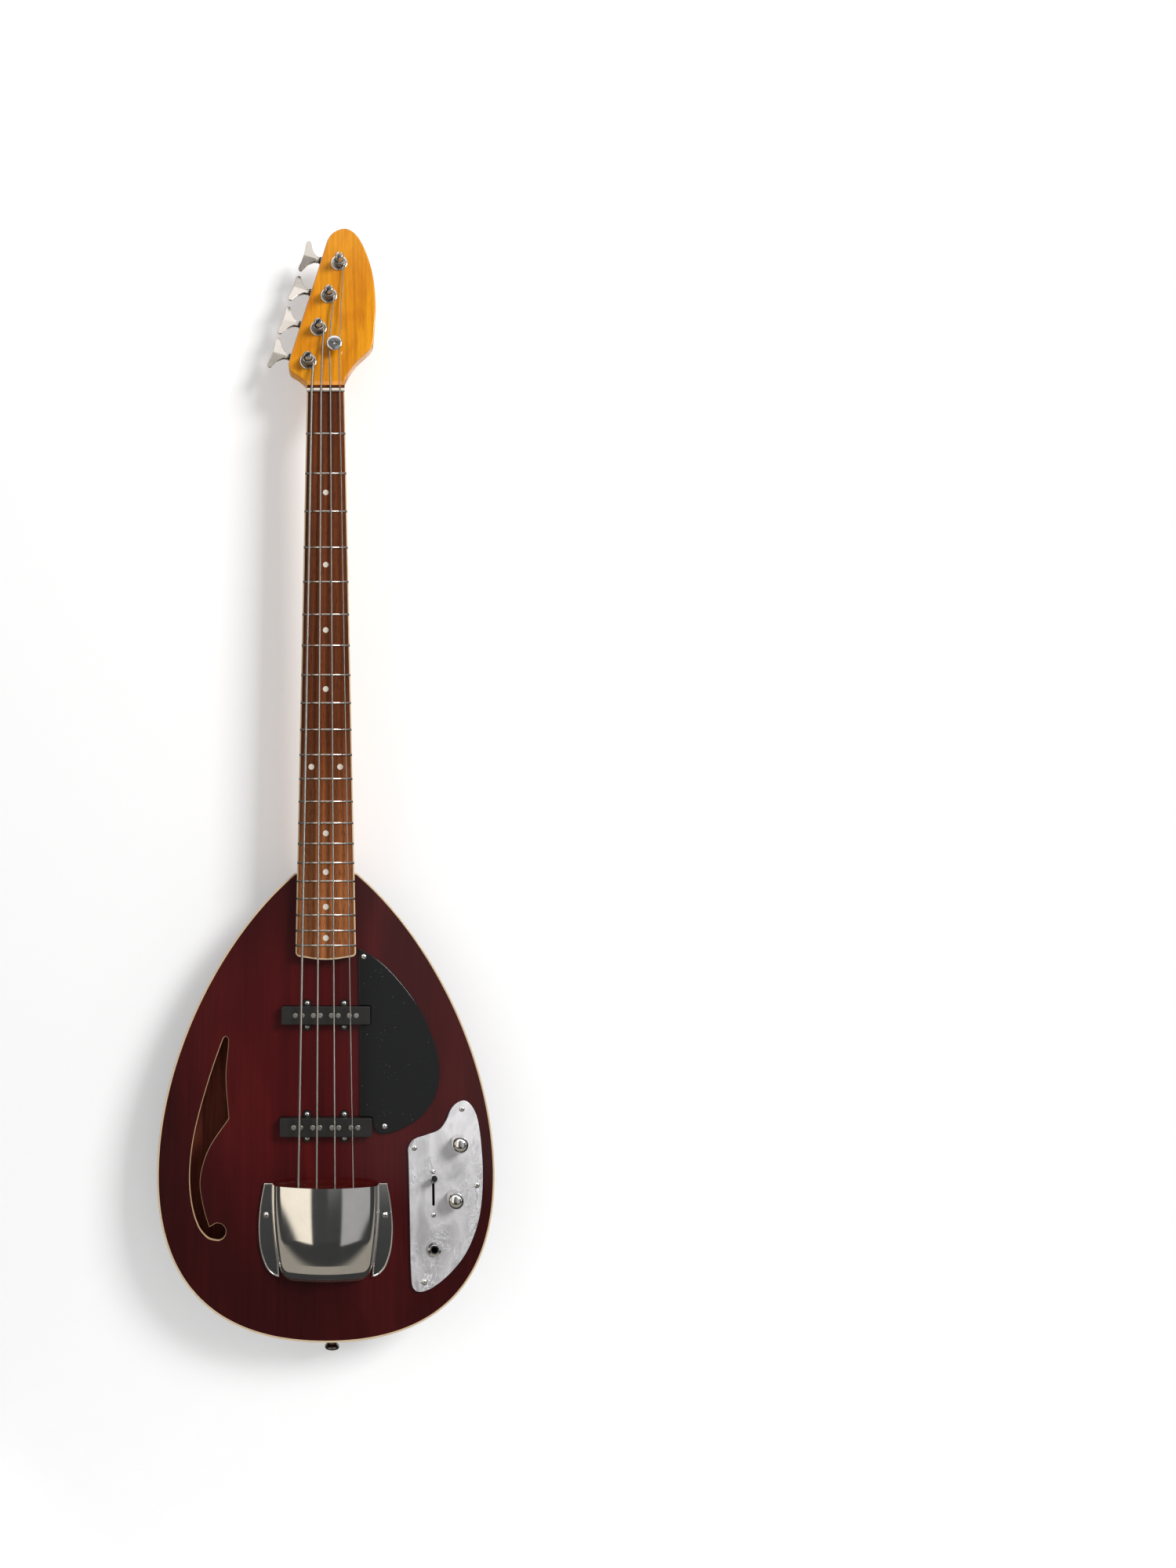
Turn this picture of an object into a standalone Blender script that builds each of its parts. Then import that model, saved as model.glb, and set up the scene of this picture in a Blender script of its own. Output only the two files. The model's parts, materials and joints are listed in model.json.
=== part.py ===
"""Semi-hollow bass guitar with a teardrop body, as an assembly of separate pieces.

X runs across the strings, Y runs from the face to the back, and Z runs up the neck.
The origin is the middle of the nut, on the playing surface of the fingerboard.
Lengths are written in millimetres and scaled to metres by MM.
"""

import math

import bmesh
import bpy
from mathutils import Matrix, Vector
from mathutils.geometry import interpolate_bezier

MM = 0.001
GAP = 0.3                      # clearance between pieces that touch

# Strings, frets and fingerboard
SCALE_LENGTH = 864.0
FRET_COUNT = 21
BOARD_HALF_AT_NUT = 21.0
BOARD_HALF_AT_END = 31.7
BOARD_TOP_Z = 8.5              # the short strip above the nut ends here
BOARD_SIDE_END_Z = -614.0      # where the straight sides stop
BOARD_END_Z = -622.0           # middle of the curved end
BOARD_THICKNESS = 5.5
BOARD_CORNER = 5.0             # rounding of the two corners at the board's end
BINDING_WIDTH = 1.6
FRET_WIDTH = 2.4
FRET_TOP_Y = -1.1
NUT_LENGTH = 3.4
NUT_SLOT_DEPTH = 4.0

STRING_NAMES = ("e", "a", "d", "g")
STRING_RADII = (1.3, 1.05, 0.83, 0.58)
WINDING_TURNS = (2, 2, 3, 3)
WINDING_POINTS = 24            # points in one turn round a post
WINDING_GAP = 0.45             # air between one turn and the next
NUT_STRING_STEP = 10.35
SADDLE_STRING_STEP = 18.7
STRING_UNDERSIDE_AT_NUT = -1.5
STRING_UNDERSIDE_AT_SADDLE = -5.7
STRING_CLEARANCE = 0.35        # between a string and the nut, a saddle or the retainer
WINDING_CLEARANCE = 0.4        # between a winding and its post or bushing
RETAINER_PLACE = (9.6, 58.5)   # X and Z of the button that holds two strings down
RETAINER_UNDERSIDE = 3.3
RETAINED_STRING_X = (4.2, 15.4)

# Neck and headstock
NECK_TOP_Y = BOARD_THICKNESS + GAP
HEEL_BACK_Y = 26.0
HEEL_END_Z = -608.0
HEAD_FACE_Y = 11.0
HEAD_BACK_Y = 25.5
TUNER_HOLE_RADIUS = 7.2
NECK_HOLE_RADIUS = 2.6
TRUSS_RADIUS = 2.2

# Body
BODY_FACE_Y = 10.0
BODY_BACK_Y = 55.0
BACK_ROUND = 3.0               # rounding of the back edge
BODY_HALF_WIDTH = 173.7
WIDEST_Z = -837.0
BODY_BOTTOM_Z = -1004.8
SHOULDER_X = 33.0
SHOULDER_Z = -531.5
SHOULDER_HANDLE = (77.2, -65.1)    # handles of the curves of the body's outline
WIDEST_HANDLE_UP = 115.0
WIDEST_HANDLE_DOWN = 105.0
BOTTOM_HANDLE = 119.3
POCKET_HALF = 30.6
TOP_THICKNESS = 3.7
BODY_BINDING_WIDTH = 2.0
BODY_BINDING_DEPTH = 6.0
RIM_THICKNESS = 13.0
BLOCK_HALF = 65.0              # half width of the solid block under the strings
CHAMBER_FLOOR_Y = 48.0

# Tuners, in line along the left edge of the headstock
TUNER_COUNT = 4
FIRST_POST = (-19.8, 41.3)     # X and Z of the post of the lowest string
POST_STEP = (11.65, 39.3)      # from one post to the next
EDGE_ANGLE = math.atan2(POST_STEP[0], POST_STEP[1])
WORM_OFFSET = 9.5              # from the post's axis to the key's axis
WORM_HEIGHT = 6.3              # of the key's axis above the back of the headstock
KEY_TWISTS = (0.09, 0.16, 0.26, 0.0)   # how far each key is turned, in radians
POST_RADIUS = 4.8
POST_WAIST_RADIUS = 4.1
BUSHING_FACE_Y = 9.5

# Hardware on the face
PLATE_FRONT_Y = 7.4            # pickguard and control plate
PLATE_BACK_Y = BODY_FACE_Y - GAP
PICKUP_PLACES = {"neck": -679.3, "bridge": -792.2}
PICKUP_LENGTHS = {"neck": 92.2, "bridge": 94.9}
PICKUP_WIDTH = 18.6
PICKUP_FACE_Y = 1.0
EAR_RADIUS = 4.0
EAR_OFFSET = (19.3, 11.9)      # from a pickup's middle
POLE_OFFSET = 3.6              # of each pole from the middle of its pair
POLE_RADIUS = 2.4
POLE_HOLE_RADIUS = 2.85
POLE_PAIR_STEPS = {"neck": 18.7, "bridge": 19.6}
VOLUME_AXIS = (137.1, -808.4)
TONE_AXIS = (131.7, -863.4)
KNOB_RADIUS = 8.85
SWITCH_AXIS = (110.2, -856.1)
SWITCH_PIVOT_Y = 30.0
SWITCH_REST = math.radians(23.0)
SWITCH_SLOT_HALF = 13.4
SWITCH_SLOT_RADIUS = 1.3
JACK_AXIS = (110.5, -913.1)
COVER_TOP_Z = -848.5
COVER_TAIL_Z = -944.5
COVER_SHOULDER_Z = -905.0      # the tail rounds down from here
COVER_TAPER_Z = -862.0         # the sides draw in from here
COVER_TAPER = 9.5
COVER_HALF = 55.5
COVER_HEIGHT = 24.0
COVER_WALL = 1.2
COVER_SECTION_POWER = 2.5
COVER_SCREW = (60.9, -879.6)
COVER_HOLE_RADIUS = 1.6
SADDLE_RADIUS = 4.6
SADDLE_HALF_LENGTH = 8.8
INTONATION_OFFSET = 3.4
BRIDGE_WALL_Z = -902.0

# Back plate and strap buttons
NECK_PLATE_Z = -564.0
NECK_PLATE_HALF = (25.5, 32.0)
NECK_SCREW_HALF = (19.2, 25.5)
STRAP_BUTTON_Y = 41.0
END_BUTTON_X = 6.5
END_BUTTON_Y = 33.0
STRAP_HOLE_RADIUS = 2.3

CORNER = "corner"

FACE = Matrix.Rotation(math.pi / 2, 4, "X")      # local Z points out of the face
BACK = Matrix.Rotation(-math.pi / 2, 4, "X")     # local Z points out of the back

FINISHES = {
    "cherry": ((0.16, 0.012, 0.014), 0.12, 0.0),
    "cream": ((0.82, 0.68, 0.48), 0.3, 0.0),
    "maple": ((0.72, 0.33, 0.035), 0.2, 0.0),
    "rosewood": ((0.13, 0.05, 0.025), 0.45, 0.0),
    "bone": ((0.85, 0.78, 0.66), 0.35, 0.0),
    "chrome": ((0.78, 0.78, 0.78), 0.08, 1.0),
    "nickel": ((0.62, 0.58, 0.54), 0.22, 1.0),
    "steel": ((0.5, 0.5, 0.5), 0.35, 1.0),
    "brass": ((0.75, 0.55, 0.2), 0.3, 1.0),
    "black": ((0.012, 0.012, 0.013), 0.12, 0.0),
    "black_matte": ((0.02, 0.02, 0.02), 0.5, 0.0),
    "pearl": ((0.76, 0.76, 0.77), 0.25, 0.0),
}


def make_collection(name):
    """Return a new collection linked to the scene."""
    collection = bpy.data.collections.new(name)
    bpy.context.scene.collection.children.link(collection)
    return collection


for old in list(bpy.data.objects):
    bpy.data.objects.remove(old, do_unlink=True)
PARTS = make_collection("bass_guitar")
CUTTERS = make_collection("cutters")


def paint(piece, finish):
    """Give a piece its own material."""
    colour, roughness, metallic = FINISHES[finish]
    material = bpy.data.materials.new(piece.name + "_" + finish)
    material.use_nodes = True
    shader = material.node_tree.nodes["Principled BSDF"]
    shader.inputs["Base Color"].default_value = (*colour, 1.0)
    shader.inputs["Roughness"].default_value = roughness
    shader.inputs["Metallic"].default_value = metallic
    piece.data.materials.clear()
    piece.data.materials.append(material)
    return piece


def scaled(matrix):
    """Return a placement whose translation is read in millimetres."""
    placed = matrix.copy()
    placed.translation = matrix.translation * MM
    return placed


def at(x, y, z, turn=None):
    """Return a placement at a point in millimetres, with an optional turn."""
    matrix = Matrix.Translation((x, y, z))
    return matrix @ turn if turn else matrix


def new_piece(name, mesh, place=None):
    """Link a mesh object into the guitar's collection."""
    piece = bpy.data.objects.new(name, mesh)
    PARTS.objects.link(piece)
    if place:
        piece.matrix_world = scaled(place)
    return piece


def mesh_from(name, build):
    """Run build on an empty bmesh and return the mesh with its faces out."""
    bm = bmesh.new()
    build(bm)
    bmesh.ops.remove_doubles(bm, verts=bm.verts, dist=0.00001)
    bmesh.ops.recalc_face_normals(bm, faces=bm.faces)
    mesh = bpy.data.meshes.new(name)
    bm.to_mesh(mesh)
    bm.free()
    return mesh


def mesh_of_curve(curve_object, flat=False):
    """Turn a curve object into a welded mesh in its own space, and remove it."""
    PARTS.objects.link(curve_object)
    bpy.context.view_layer.update()
    graph = bpy.context.evaluated_depsgraph_get()
    mesh = bpy.data.meshes.new_from_object(curve_object.evaluated_get(graph))
    bm = bmesh.new()
    bm.from_mesh(mesh)
    bmesh.ops.remove_doubles(bm, verts=bm.verts, dist=0.00001)
    if flat:
        bmesh.ops.dissolve_limit(bm, angle_limit=0.001, verts=bm.verts, edges=bm.edges)
    bmesh.ops.recalc_face_normals(bm, faces=bm.faces)
    bm.to_mesh(mesh)
    bm.free()
    curve = curve_object.data
    bpy.data.objects.remove(curve_object, do_unlink=True)
    bpy.data.curves.remove(curve)
    return mesh


def prism(name, outline, low, high, place=None):
    """Extrude a closed outline in local X and Y from low to high along local Z."""
    curve = bpy.data.curves.new(name, "CURVE")
    curve.dimensions = "2D"
    curve.fill_mode = "BOTH"
    curve.extrude = (high - low) / 2 * MM
    spline = curve.splines.new("POLY")
    spline.points.add(len(outline) - 1)
    for point, (x, y) in zip(spline.points, outline):
        point.co = (x * MM, y * MM, 0.0, 1.0)
    spline.use_cyclic_u = True
    middle = Matrix.Translation((0, 0, (low + high) / 2))
    mesh = mesh_of_curve(bpy.data.objects.new(name, curve), flat=True)
    return new_piece(name, mesh, (place or Matrix()) @ middle)


def plate(name, outline, front_y, back_y):
    """Extrude an outline drawn in X and Z between two depths."""
    return prism(name, outline, -back_y, -front_y, FACE)


def turned(name, profile, place, steps=16, closed=False):
    """Turn a profile of radius and height about local Z."""
    mesh = bpy.data.meshes.new(name)
    verts = [(radius * MM, 0.0, height * MM) for radius, height in profile]
    edges = [(i, i + 1) for i in range(len(verts) - 1)]
    if closed:
        edges.append((len(verts) - 1, 0))
    mesh.from_pydata(verts, edges, [])
    piece = new_piece(name, mesh, place)
    screw = piece.modifiers.new("turn", "SCREW")
    screw.steps = steps
    screw.render_steps = steps
    screw.use_merge_vertices = True
    screw.merge_threshold = 0.00001
    screw.use_smooth_shade = True
    return piece


def tube(name, points, radius, resolution=1):
    """Sweep a round section along a line of points."""
    curve = bpy.data.curves.new(name, "CURVE")
    curve.dimensions = "3D"
    curve.bevel_depth = radius * MM
    curve.bevel_resolution = resolution
    curve.use_fill_caps = True
    spline = curve.splines.new("POLY")
    spline.points.add(len(points) - 1)
    for point, place in zip(spline.points, points):
        point.co = (*(c * MM for c in place), 1.0)
    mesh = mesh_of_curve(bpy.data.objects.new(name, curve))
    mesh.shade_smooth()
    return new_piece(name, mesh)


def box(name, low, high):
    """Make a box between two corners."""
    low, high = Vector(low), Vector(high)
    size = Matrix.Diagonal((*((high - low) * MM), 1.0))
    place = Matrix.Translation((low + high) / 2 * MM)
    return new_piece(name, mesh_from(name, lambda bm: bmesh.ops.create_cube(
        bm, size=1.0, matrix=place @ size)))


def rod(name, start, end, radius, sides=12, end_radius=None):
    """Make a round bar, or a cone, between two points."""
    start, end = Vector(start) * MM, Vector(end) * MM
    along = end - start
    turn = along.to_track_quat("Z", "Y").to_matrix().to_4x4()
    place = Matrix.Translation((start + end) / 2) @ turn
    far = radius if end_radius is None else end_radius
    return new_piece(name, mesh_from(name, lambda bm: bmesh.ops.create_cone(
        bm, cap_ends=True, segments=sides, radius1=radius * MM, radius2=far * MM,
        depth=along.length, matrix=place)))


def loft(name, rings):
    """Skin a list of rings of equal length, and close both ends."""
    def build(bm):
        rows = [[bm.verts.new(Vector(p) * MM) for p in ring] for ring in rings]
        for one, two in zip(rows, rows[1:]):
            for i in range(len(one)):
                j = (i + 1) % len(one)
                bm.faces.new((one[i], one[j], two[j], two[i]))
        bm.faces.new(rows[0])
        bm.faces.new(rows[-1])
    return new_piece(name, mesh_from(name, build))


def use_on(piece, tool, operation):
    """Cut a tool from a piece, or join it to the piece."""
    for collection in list(tool.users_collection):
        collection.objects.unlink(tool)
    CUTTERS.objects.link(tool)
    tool.hide_render = True
    tool.display_type = "WIRE"
    modifier = piece.modifiers.new(tool.name, "BOOLEAN")
    modifier.operation = operation
    modifier.object = tool


def cut(piece, *tools):
    for tool in tools:
        use_on(piece, tool, "DIFFERENCE")


def join(piece, *tools):
    for tool in tools:
        use_on(piece, tool, "UNION")


def arc(centre, radius, start, end, steps):
    """Return points on an arc, with the angles in degrees."""
    points = []
    for i in range(steps + 1):
        angle = math.radians(start + (end - start) * i / steps)
        points.append((centre[0] + radius * math.cos(angle), centre[1] + radius * math.sin(angle)))
    return points


def smooth_loop(knots, steps):
    """Trace a closed smooth outline through knots, sharp where one is a CORNER."""
    places = [Vector(knot[:2]) for knot in knots]
    sharp = [len(knot) == 3 for knot in knots]
    count = len(knots)
    outline = []
    for i in range(count):
        here, there = places[i], places[(i + 1) % count]
        reach = (there - here).length / 3
        leave = there - here if sharp[i] else there - places[i - 1]
        arrive = there - here if sharp[(i + 1) % count] else places[(i + 2) % count] - here
        handle_a = here + leave.normalized() * reach
        handle_b = there - arrive.normalized() * reach
        trace = interpolate_bezier(here, handle_a, handle_b, there, steps + 1)
        outline += [tuple(p[:2]) for p in trace[:-1]]
    return outline


def mirrored(half):
    """Close a half outline, listed from top to bottom at +X, with its mirror image."""
    other = [(-x, y) for x, y in reversed(half)]
    if abs(half[-1][0]) < 1e-6:
        other = other[1:]
    return half + other


def rounded_rectangle(half_x, half_z, radius, middle=(0.0, 0.0), steps=3):
    """Return a rectangle with round corners."""
    outline = []
    for sx, sz, start in ((1, 1, 0), (-1, 1, 90), (-1, -1, 180), (1, -1, 270)):
        corner = (middle[0] + sx * (half_x - radius), middle[1] + sz * (half_z - radius))
        outline += arc(corner, radius, start, start + 90, steps)
    return outline


def board_half(z):
    """Return half the width of the bound fingerboard at a height."""
    return BOARD_HALF_AT_NUT + (BOARD_HALF_AT_END - BOARD_HALF_AT_NUT) * (z / BOARD_END_Z)


def fret_z(number):
    return -SCALE_LENGTH * (1.0 - 2.0 ** (-number / 12.0))


def string_x(index, z):
    """Return the X of a string between the nut and the saddle."""
    place = index - (len(STRING_NAMES) - 1) / 2
    step = NUT_STRING_STEP + (SADDLE_STRING_STEP - NUT_STRING_STEP) * (-z / SCALE_LENGTH)
    return place * step


def string_y(index, z):
    """Return the depth of a string's middle between the nut and the saddle."""
    rise = (STRING_UNDERSIDE_AT_SADDLE - STRING_UNDERSIDE_AT_NUT) * (-z / SCALE_LENGTH)
    return STRING_UNDERSIDE_AT_NUT + rise - STRING_RADII[index]


def post_place(index):
    """Return X and Z of a tuner's post, counted up from the nut."""
    return FIRST_POST[0] + POST_STEP[0] * index, FIRST_POST[1] + POST_STEP[1] * index


def body_edge(inset, steps=11):
    """Return the right half of the body's outline, from the neck to the bottom."""
    shoulder = Vector((SHOULDER_X, SHOULDER_Z))
    widest = Vector((BODY_HALF_WIDTH, WIDEST_Z))
    bottom = Vector((0.0, BODY_BOTTOM_Z))
    upper = interpolate_bezier(shoulder, shoulder + Vector(SHOULDER_HANDLE),
                               widest + Vector((0.0, WIDEST_HANDLE_UP)), widest, steps + 1)
    lower = interpolate_bezier(widest, widest - Vector((0.0, WIDEST_HANDLE_DOWN)),
                               bottom + Vector((BOTTOM_HANDLE, 0.0)), bottom, steps + 1)
    line = [Vector((POCKET_HALF, SHOULDER_Z))]
    line += [Vector(p[:2]) for p in upper] + [Vector(p[:2]) for p in lower[1:]]
    edge = []
    for i, point in enumerate(line):
        following = line[i + 1] if i + 1 < len(line) else Vector((-line[i - 1].x, line[i - 1].y))
        leave = (following - point).normalized()
        arrive = (point - line[i - 1]).normalized() if i else leave
        normals = Vector((-arrive.y - leave.y, arrive.x + leave.x))
        edge.append(tuple(point - normals * inset / (1.0 + arrive.dot(leave))))
    return edge


def body_band(outer_inset, inner_inset, start_x=POCKET_HALF):
    """Return a band along the body's edge, open at the neck."""
    outer = body_edge(outer_inset)
    inner = body_edge(inner_inset)
    outer[0] = (start_x, outer[0][1])
    inner[0] = (start_x, inner[0][1])
    left_outer = [(-x, z) for x, z in reversed(outer[:-1])]
    left_inner = [(-x, z) for x, z in inner[:-1]]
    return outer + left_outer + left_inner + list(reversed(inner))


def board_outline(inset, top_z):
    """Return the fingerboard's outline, drawn in by an inset."""
    corner = BOARD_CORNER - inset
    half = board_half(BOARD_SIDE_END_Z) - inset
    side = [(board_half(top_z) - inset, top_z)]
    side += arc((half - corner, BOARD_SIDE_END_Z), corner, 0, -65, 3)
    side += [(half * 0.45, BOARD_END_Z + 1.0 + inset), (0.0, BOARD_END_Z + inset)]
    return mirrored(side)


def cut_pickup_room(piece, name, clearance, front_y, back_y):
    """Cut the room for a pickup and its four ears."""
    middle_z = PICKUP_PLACES[name]
    half, side = PICKUP_LENGTHS[name] / 2 + clearance, PICKUP_WIDTH / 2 + clearance
    cut(piece, box("%s_room_in_%s" % (name, piece.name), (-half, front_y, middle_z - side),
                   (half, back_y, middle_z + side)))
    for i, (x, z) in enumerate(ear_places(name)):
        cut(piece, rod("%s_ear_room_%d_in_%s" % (name, i + 1, piece.name), (x, front_y - 1, z),
                       (x, 19.0, z), EAR_RADIUS + clearance, 12))


def ear_places(name):
    """Return X and Z of a pickup's four ears."""
    across, along = EAR_OFFSET
    return [(sx * across, PICKUP_PLACES[name] + sz * along) for sz in (1, -1) for sx in (-1, 1)]


def sound_hole_outline():
    """Return the cat's-eye hole with its scroll, on the left of the face."""
    scroll = arc((-110.6, -897.1), 8.4, 138, -92, 7)
    right = [(-104.3, -701.6), (-101.6, -705.0), (-104.0, -742.0), (-100.4, -784.5, CORNER),
             (-121.3, -816.0), (-129.4, -846.0), (-125.6, -873.0), (-119.4, -892.5, CORNER)]
    left = [(-121.0, -902.6), (-130.8, -890.5), (-138.0, -866.0), (-139.9, -836.0),
            (-135.4, -798.0), (-122.2, -748.0), (-107.2, -704.2)]
    return smooth_loop(right + scroll + left, 2)


def pickguard_outline():
    """Return the pickguard, a half leaf cut out for the two pickups."""
    neck_side = PICKUP_WIDTH / 2 + 0.6
    neck_end = PICKUP_LENGTHS["neck"] / 2 + 0.8
    bridge_top = PICKUP_PLACES["bridge"] + PICKUP_WIDTH / 2 + 0.6
    leaf = smooth_loop(
        [(34.6, -610.5, CORNER), (56.0, -623.5), (75.0, -642.0), (95.0, -668.0), (107.9, -694.0),
         (115.6, -718.0), (117.6, -740.0), (112.5, -763.5), (98.0, -782.5), (80.0, -794.0),
         (63.0, -799.2), (53.5, -798.2), (49.4, -793.0, CORNER), (47.6, bridge_top, CORNER),
         (35.6, bridge_top, CORNER)], 2)
    middle = PICKUP_PLACES["neck"]
    notch = [(35.6, middle - neck_side), (neck_end, middle - neck_side),
             (neck_end, middle + neck_side), (35.0, middle + neck_side)]
    straight = leaf.index(min(leaf, key=lambda p: abs(p[0] - 35.6) + abs(p[1] - bridge_top)))
    return leaf[:straight + 1] + notch


def control_plate_outline():
    """Return the pearl plate that carries the knobs, the switch and the jack."""
    return smooth_loop(
        [(144.5, -766.4), (152.5, -774.0), (157.3, -787.5), (160.2, -812.0), (161.2, -840.0),
         (159.2, -869.3), (154.0, -892.5), (143.0, -917.0), (128.0, -935.5), (110.5, -949.6),
         (97.4, -955.0), (90.0, -953.2), (87.0, -945.0), (85.8, -880.0), (84.9, -822.0, CORNER),
         (84.9, -813.4), (90.0, -805.6), (103.5, -800.6), (116.8, -795.4), (124.5, -785.5),
         (128.8, -775.7), (135.5, -768.6)], 2)


def headstock_outline():
    """Return the headstock's face, with a straight slanted edge on the tuner side."""
    return smooth_loop(
        [(21.2, 201.8), (30.5, 198.3), (39.0, 188.0), (47.5, 168.3), (53.6, 144.5),
         (56.4, 113.0), (55.3, 83.0), (53.6, 64.5), (50.6, 57.5), (35.8, 42.5), (27.0, 30.4),
         (21.8, 20.0), (20.6, 9.8, CORNER), (-20.6, 9.8, CORNER), (-23.2, 17.6),
         (-31.3, 24.8), (-39.6, 30.5), (-41.8, 37.5), (-40.2, 46.0), (-34.0, 67.1, CORNER),
         (-6.6, 159.2, CORNER), (-1.6, 176.0), (3.2, 190.3), (10.2, 198.0)], 3)


def neck_section(z, half, top_y, back_y, power, steps=12):
    """Return a section of the neck, flat under the fingerboard and round behind."""
    ring = []
    for i in range(steps + 1):
        angle = math.pi * i / steps
        x = math.copysign(abs(math.cos(angle)) ** (2.0 / power), math.cos(angle)) * half
        y = top_y + (back_y - top_y) * math.sin(angle) ** (2.0 / power)
        ring.append((x, y, z))
    return ring


def make_neck():
    """Make the maple neck with its headstock, heel, rod channel and holes."""
    stations = ((32.0, 23.0, 11.4, 25.3, 2.8), (20.0, 20.9, 10.6, 25.2, 2.7),
                (BOARD_TOP_Z + 0.5, 20.9, NECK_TOP_Y, 24.2, 2.4), (-2.0, None, NECK_TOP_Y, 22.4, 2.2),
                (-20.0, None, NECK_TOP_Y, 21.2, 2.1), (-60.0, None, NECK_TOP_Y, 21.1, 2.1),
                (-432.0, None, NECK_TOP_Y, 23.0, 2.1), (-486.0, None, NECK_TOP_Y, 23.6, 2.2),
                (-503.0, None, NECK_TOP_Y, 24.9, 4.0), (-517.0, None, NECK_TOP_Y, HEEL_BACK_Y, 12.0),
                (HEEL_END_Z, None, NECK_TOP_Y, HEEL_BACK_Y, 12.0))
    rings = [neck_section(z, half or board_half(z), top, back, power)
             for z, half, top, back, power in stations]
    neck = loft("neck", rings)
    join(neck, plate("headstock_blank", headstock_outline(), HEAD_FACE_Y, HEAD_BACK_Y))
    cut(neck,
        box("rod_channel", (-3.0, NECK_TOP_Y - 2.0, HEEL_END_Z - 1.0), (3.0, 16.4, -6.0)),
        box("rod_nut_channel", (-4.8, NECK_TOP_Y - 1.0, HEEL_END_Z - 2.0), (4.8, 15.6, -590.0)))
    for i in range(TUNER_COUNT):
        x, z = post_place(i)
        cut(neck, rod("tuner_hole_%d" % (i + 1), (x, HEAD_FACE_Y - 2, z), (x, HEAD_BACK_Y + 2, z),
                      TUNER_HOLE_RADIUS, 14))
    for i, (x, z) in enumerate(neck_screw_places()):
        cut(neck, rod("heel_hole_%d" % (i + 1), (x, 11.0, z), (x, HEEL_BACK_Y + 1, z),
                      NECK_HOLE_RADIUS, 8))
    paint(neck, "maple")


def neck_screw_places():
    """Return X and Z of the four screws through the neck plate."""
    half_x, half_z = NECK_SCREW_HALF
    return [(sx * half_x, NECK_PLATE_Z + sz * half_z) for sz in (1, -1) for sx in (-1, 1)]


def make_fingerboard():
    """Make the rosewood board with its frets pressed in."""
    board = plate("fingerboard", board_outline(BINDING_WIDTH + GAP, BOARD_TOP_Z), 0.0, BOARD_THICKNESS)
    half = BOARD_HALF_AT_NUT + 1.0
    cut(board, box("nut_slot", (-half, -1.0, 0.0), (half, NUT_SLOT_DEPTH, NUT_LENGTH)),
        box("strip_ramp", (-half, -1.5, NUT_LENGTH - 0.5), (half, 1.0, BOARD_TOP_Z + 1.0)))

    def tangs(bm):
        for number in range(1, FRET_COUNT + 1):
            z = fret_z(number)
            reach = board_half(z) - BINDING_WIDTH - 2 * GAP
            size = Matrix.Diagonal((2 * reach * MM, 2.9 * MM, 0.9 * MM, 1.0))
            place = Matrix.Translation((0.0, 0.85 * MM, z * MM))
            bmesh.ops.create_cube(bm, size=1.0, matrix=place @ size)

    def crowns(bm):
        half_width = FRET_WIDTH / 2
        section = ((-half_width, -GAP), (half_width, -GAP), (half_width * 0.78, FRET_TOP_Y * 0.75),
                   (half_width * 0.3, FRET_TOP_Y), (-half_width * 0.3, FRET_TOP_Y),
                   (-half_width * 0.78, FRET_TOP_Y * 0.75))
        for number in range(1, FRET_COUNT + 1):
            z = fret_z(number)
            reach = board_half(z) + 0.2
            ends = [[bm.verts.new(Vector((x, y, z + across)) * MM) for across, y in section]
                    for x in (-reach, reach)]
            count = len(section)
            for i in range(count):
                j = (i + 1) % count
                bm.faces.new((ends[0][i], ends[0][j], ends[1][j], ends[1][i]))
            bm.faces.new(ends[0])
            bm.faces.new(ends[1])

    join(board, new_piece("fret_tangs", mesh_from("fret_tangs", tangs)),
         new_piece("fret_crowns", mesh_from("fret_crowns", crowns)))
    paint(board, "rosewood")


def make_fingerboard_binding():
    """Make the cream strip down both sides and round the end of the fingerboard."""
    outer = board_outline(0.0, BOARD_TOP_Z)
    inner = board_outline(BINDING_WIDTH, BOARD_TOP_Z)
    band = plate("fingerboard_binding", outer + inner[::-1], 0.0, BOARD_THICKNESS)
    half = BOARD_HALF_AT_NUT + 1.0
    cut(band, box("binding_slot", (-half, -1.0, 0.0), (half, NUT_SLOT_DEPTH, NUT_LENGTH)),
        box("binding_ramp", (-half, -1.5, NUT_LENGTH - 0.5), (half, 1.0, BOARD_TOP_Z + 1.0)))
    paint(band, "cream")


def make_nut():
    """Make the nut with a slot for each string."""
    nut = box("nut", (-BOARD_HALF_AT_NUT, -2.9, GAP),
              (BOARD_HALF_AT_NUT, NUT_SLOT_DEPTH - GAP, NUT_LENGTH - GAP))
    for i, name in enumerate(STRING_NAMES):
        x = string_x(i, 0.0)
        half = STRING_RADII[i] + STRING_CLEARANCE
        cut(nut, box("nut_slot_" + name, (x - half, -5.0, -1.0),
                     (x + half, STRING_UNDERSIDE_AT_NUT + STRING_CLEARANCE, NUT_LENGTH + 1.0)))
    paint(nut, "bone")


def make_truss_rod():
    """Make the bowed steel rod under the fingerboard, with its nut at the heel."""
    start_z, end_z = -12.0, HEEL_END_Z + 4.0
    points = []
    for i in range(9):
        t = i / 8
        points.append((0.0, 9.3 + 4.0 * math.sin(math.pi * t), start_z + (end_z - start_z) * t))
    truss = tube("truss_rod", points, TRUSS_RADIUS)
    nut = rod("rod_nut", (0, 10.4, -594.0), (0, 10.4, HEEL_END_Z + 0.6), 3.8, 12)
    join(truss, nut)
    paint(truss, "steel")


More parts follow.
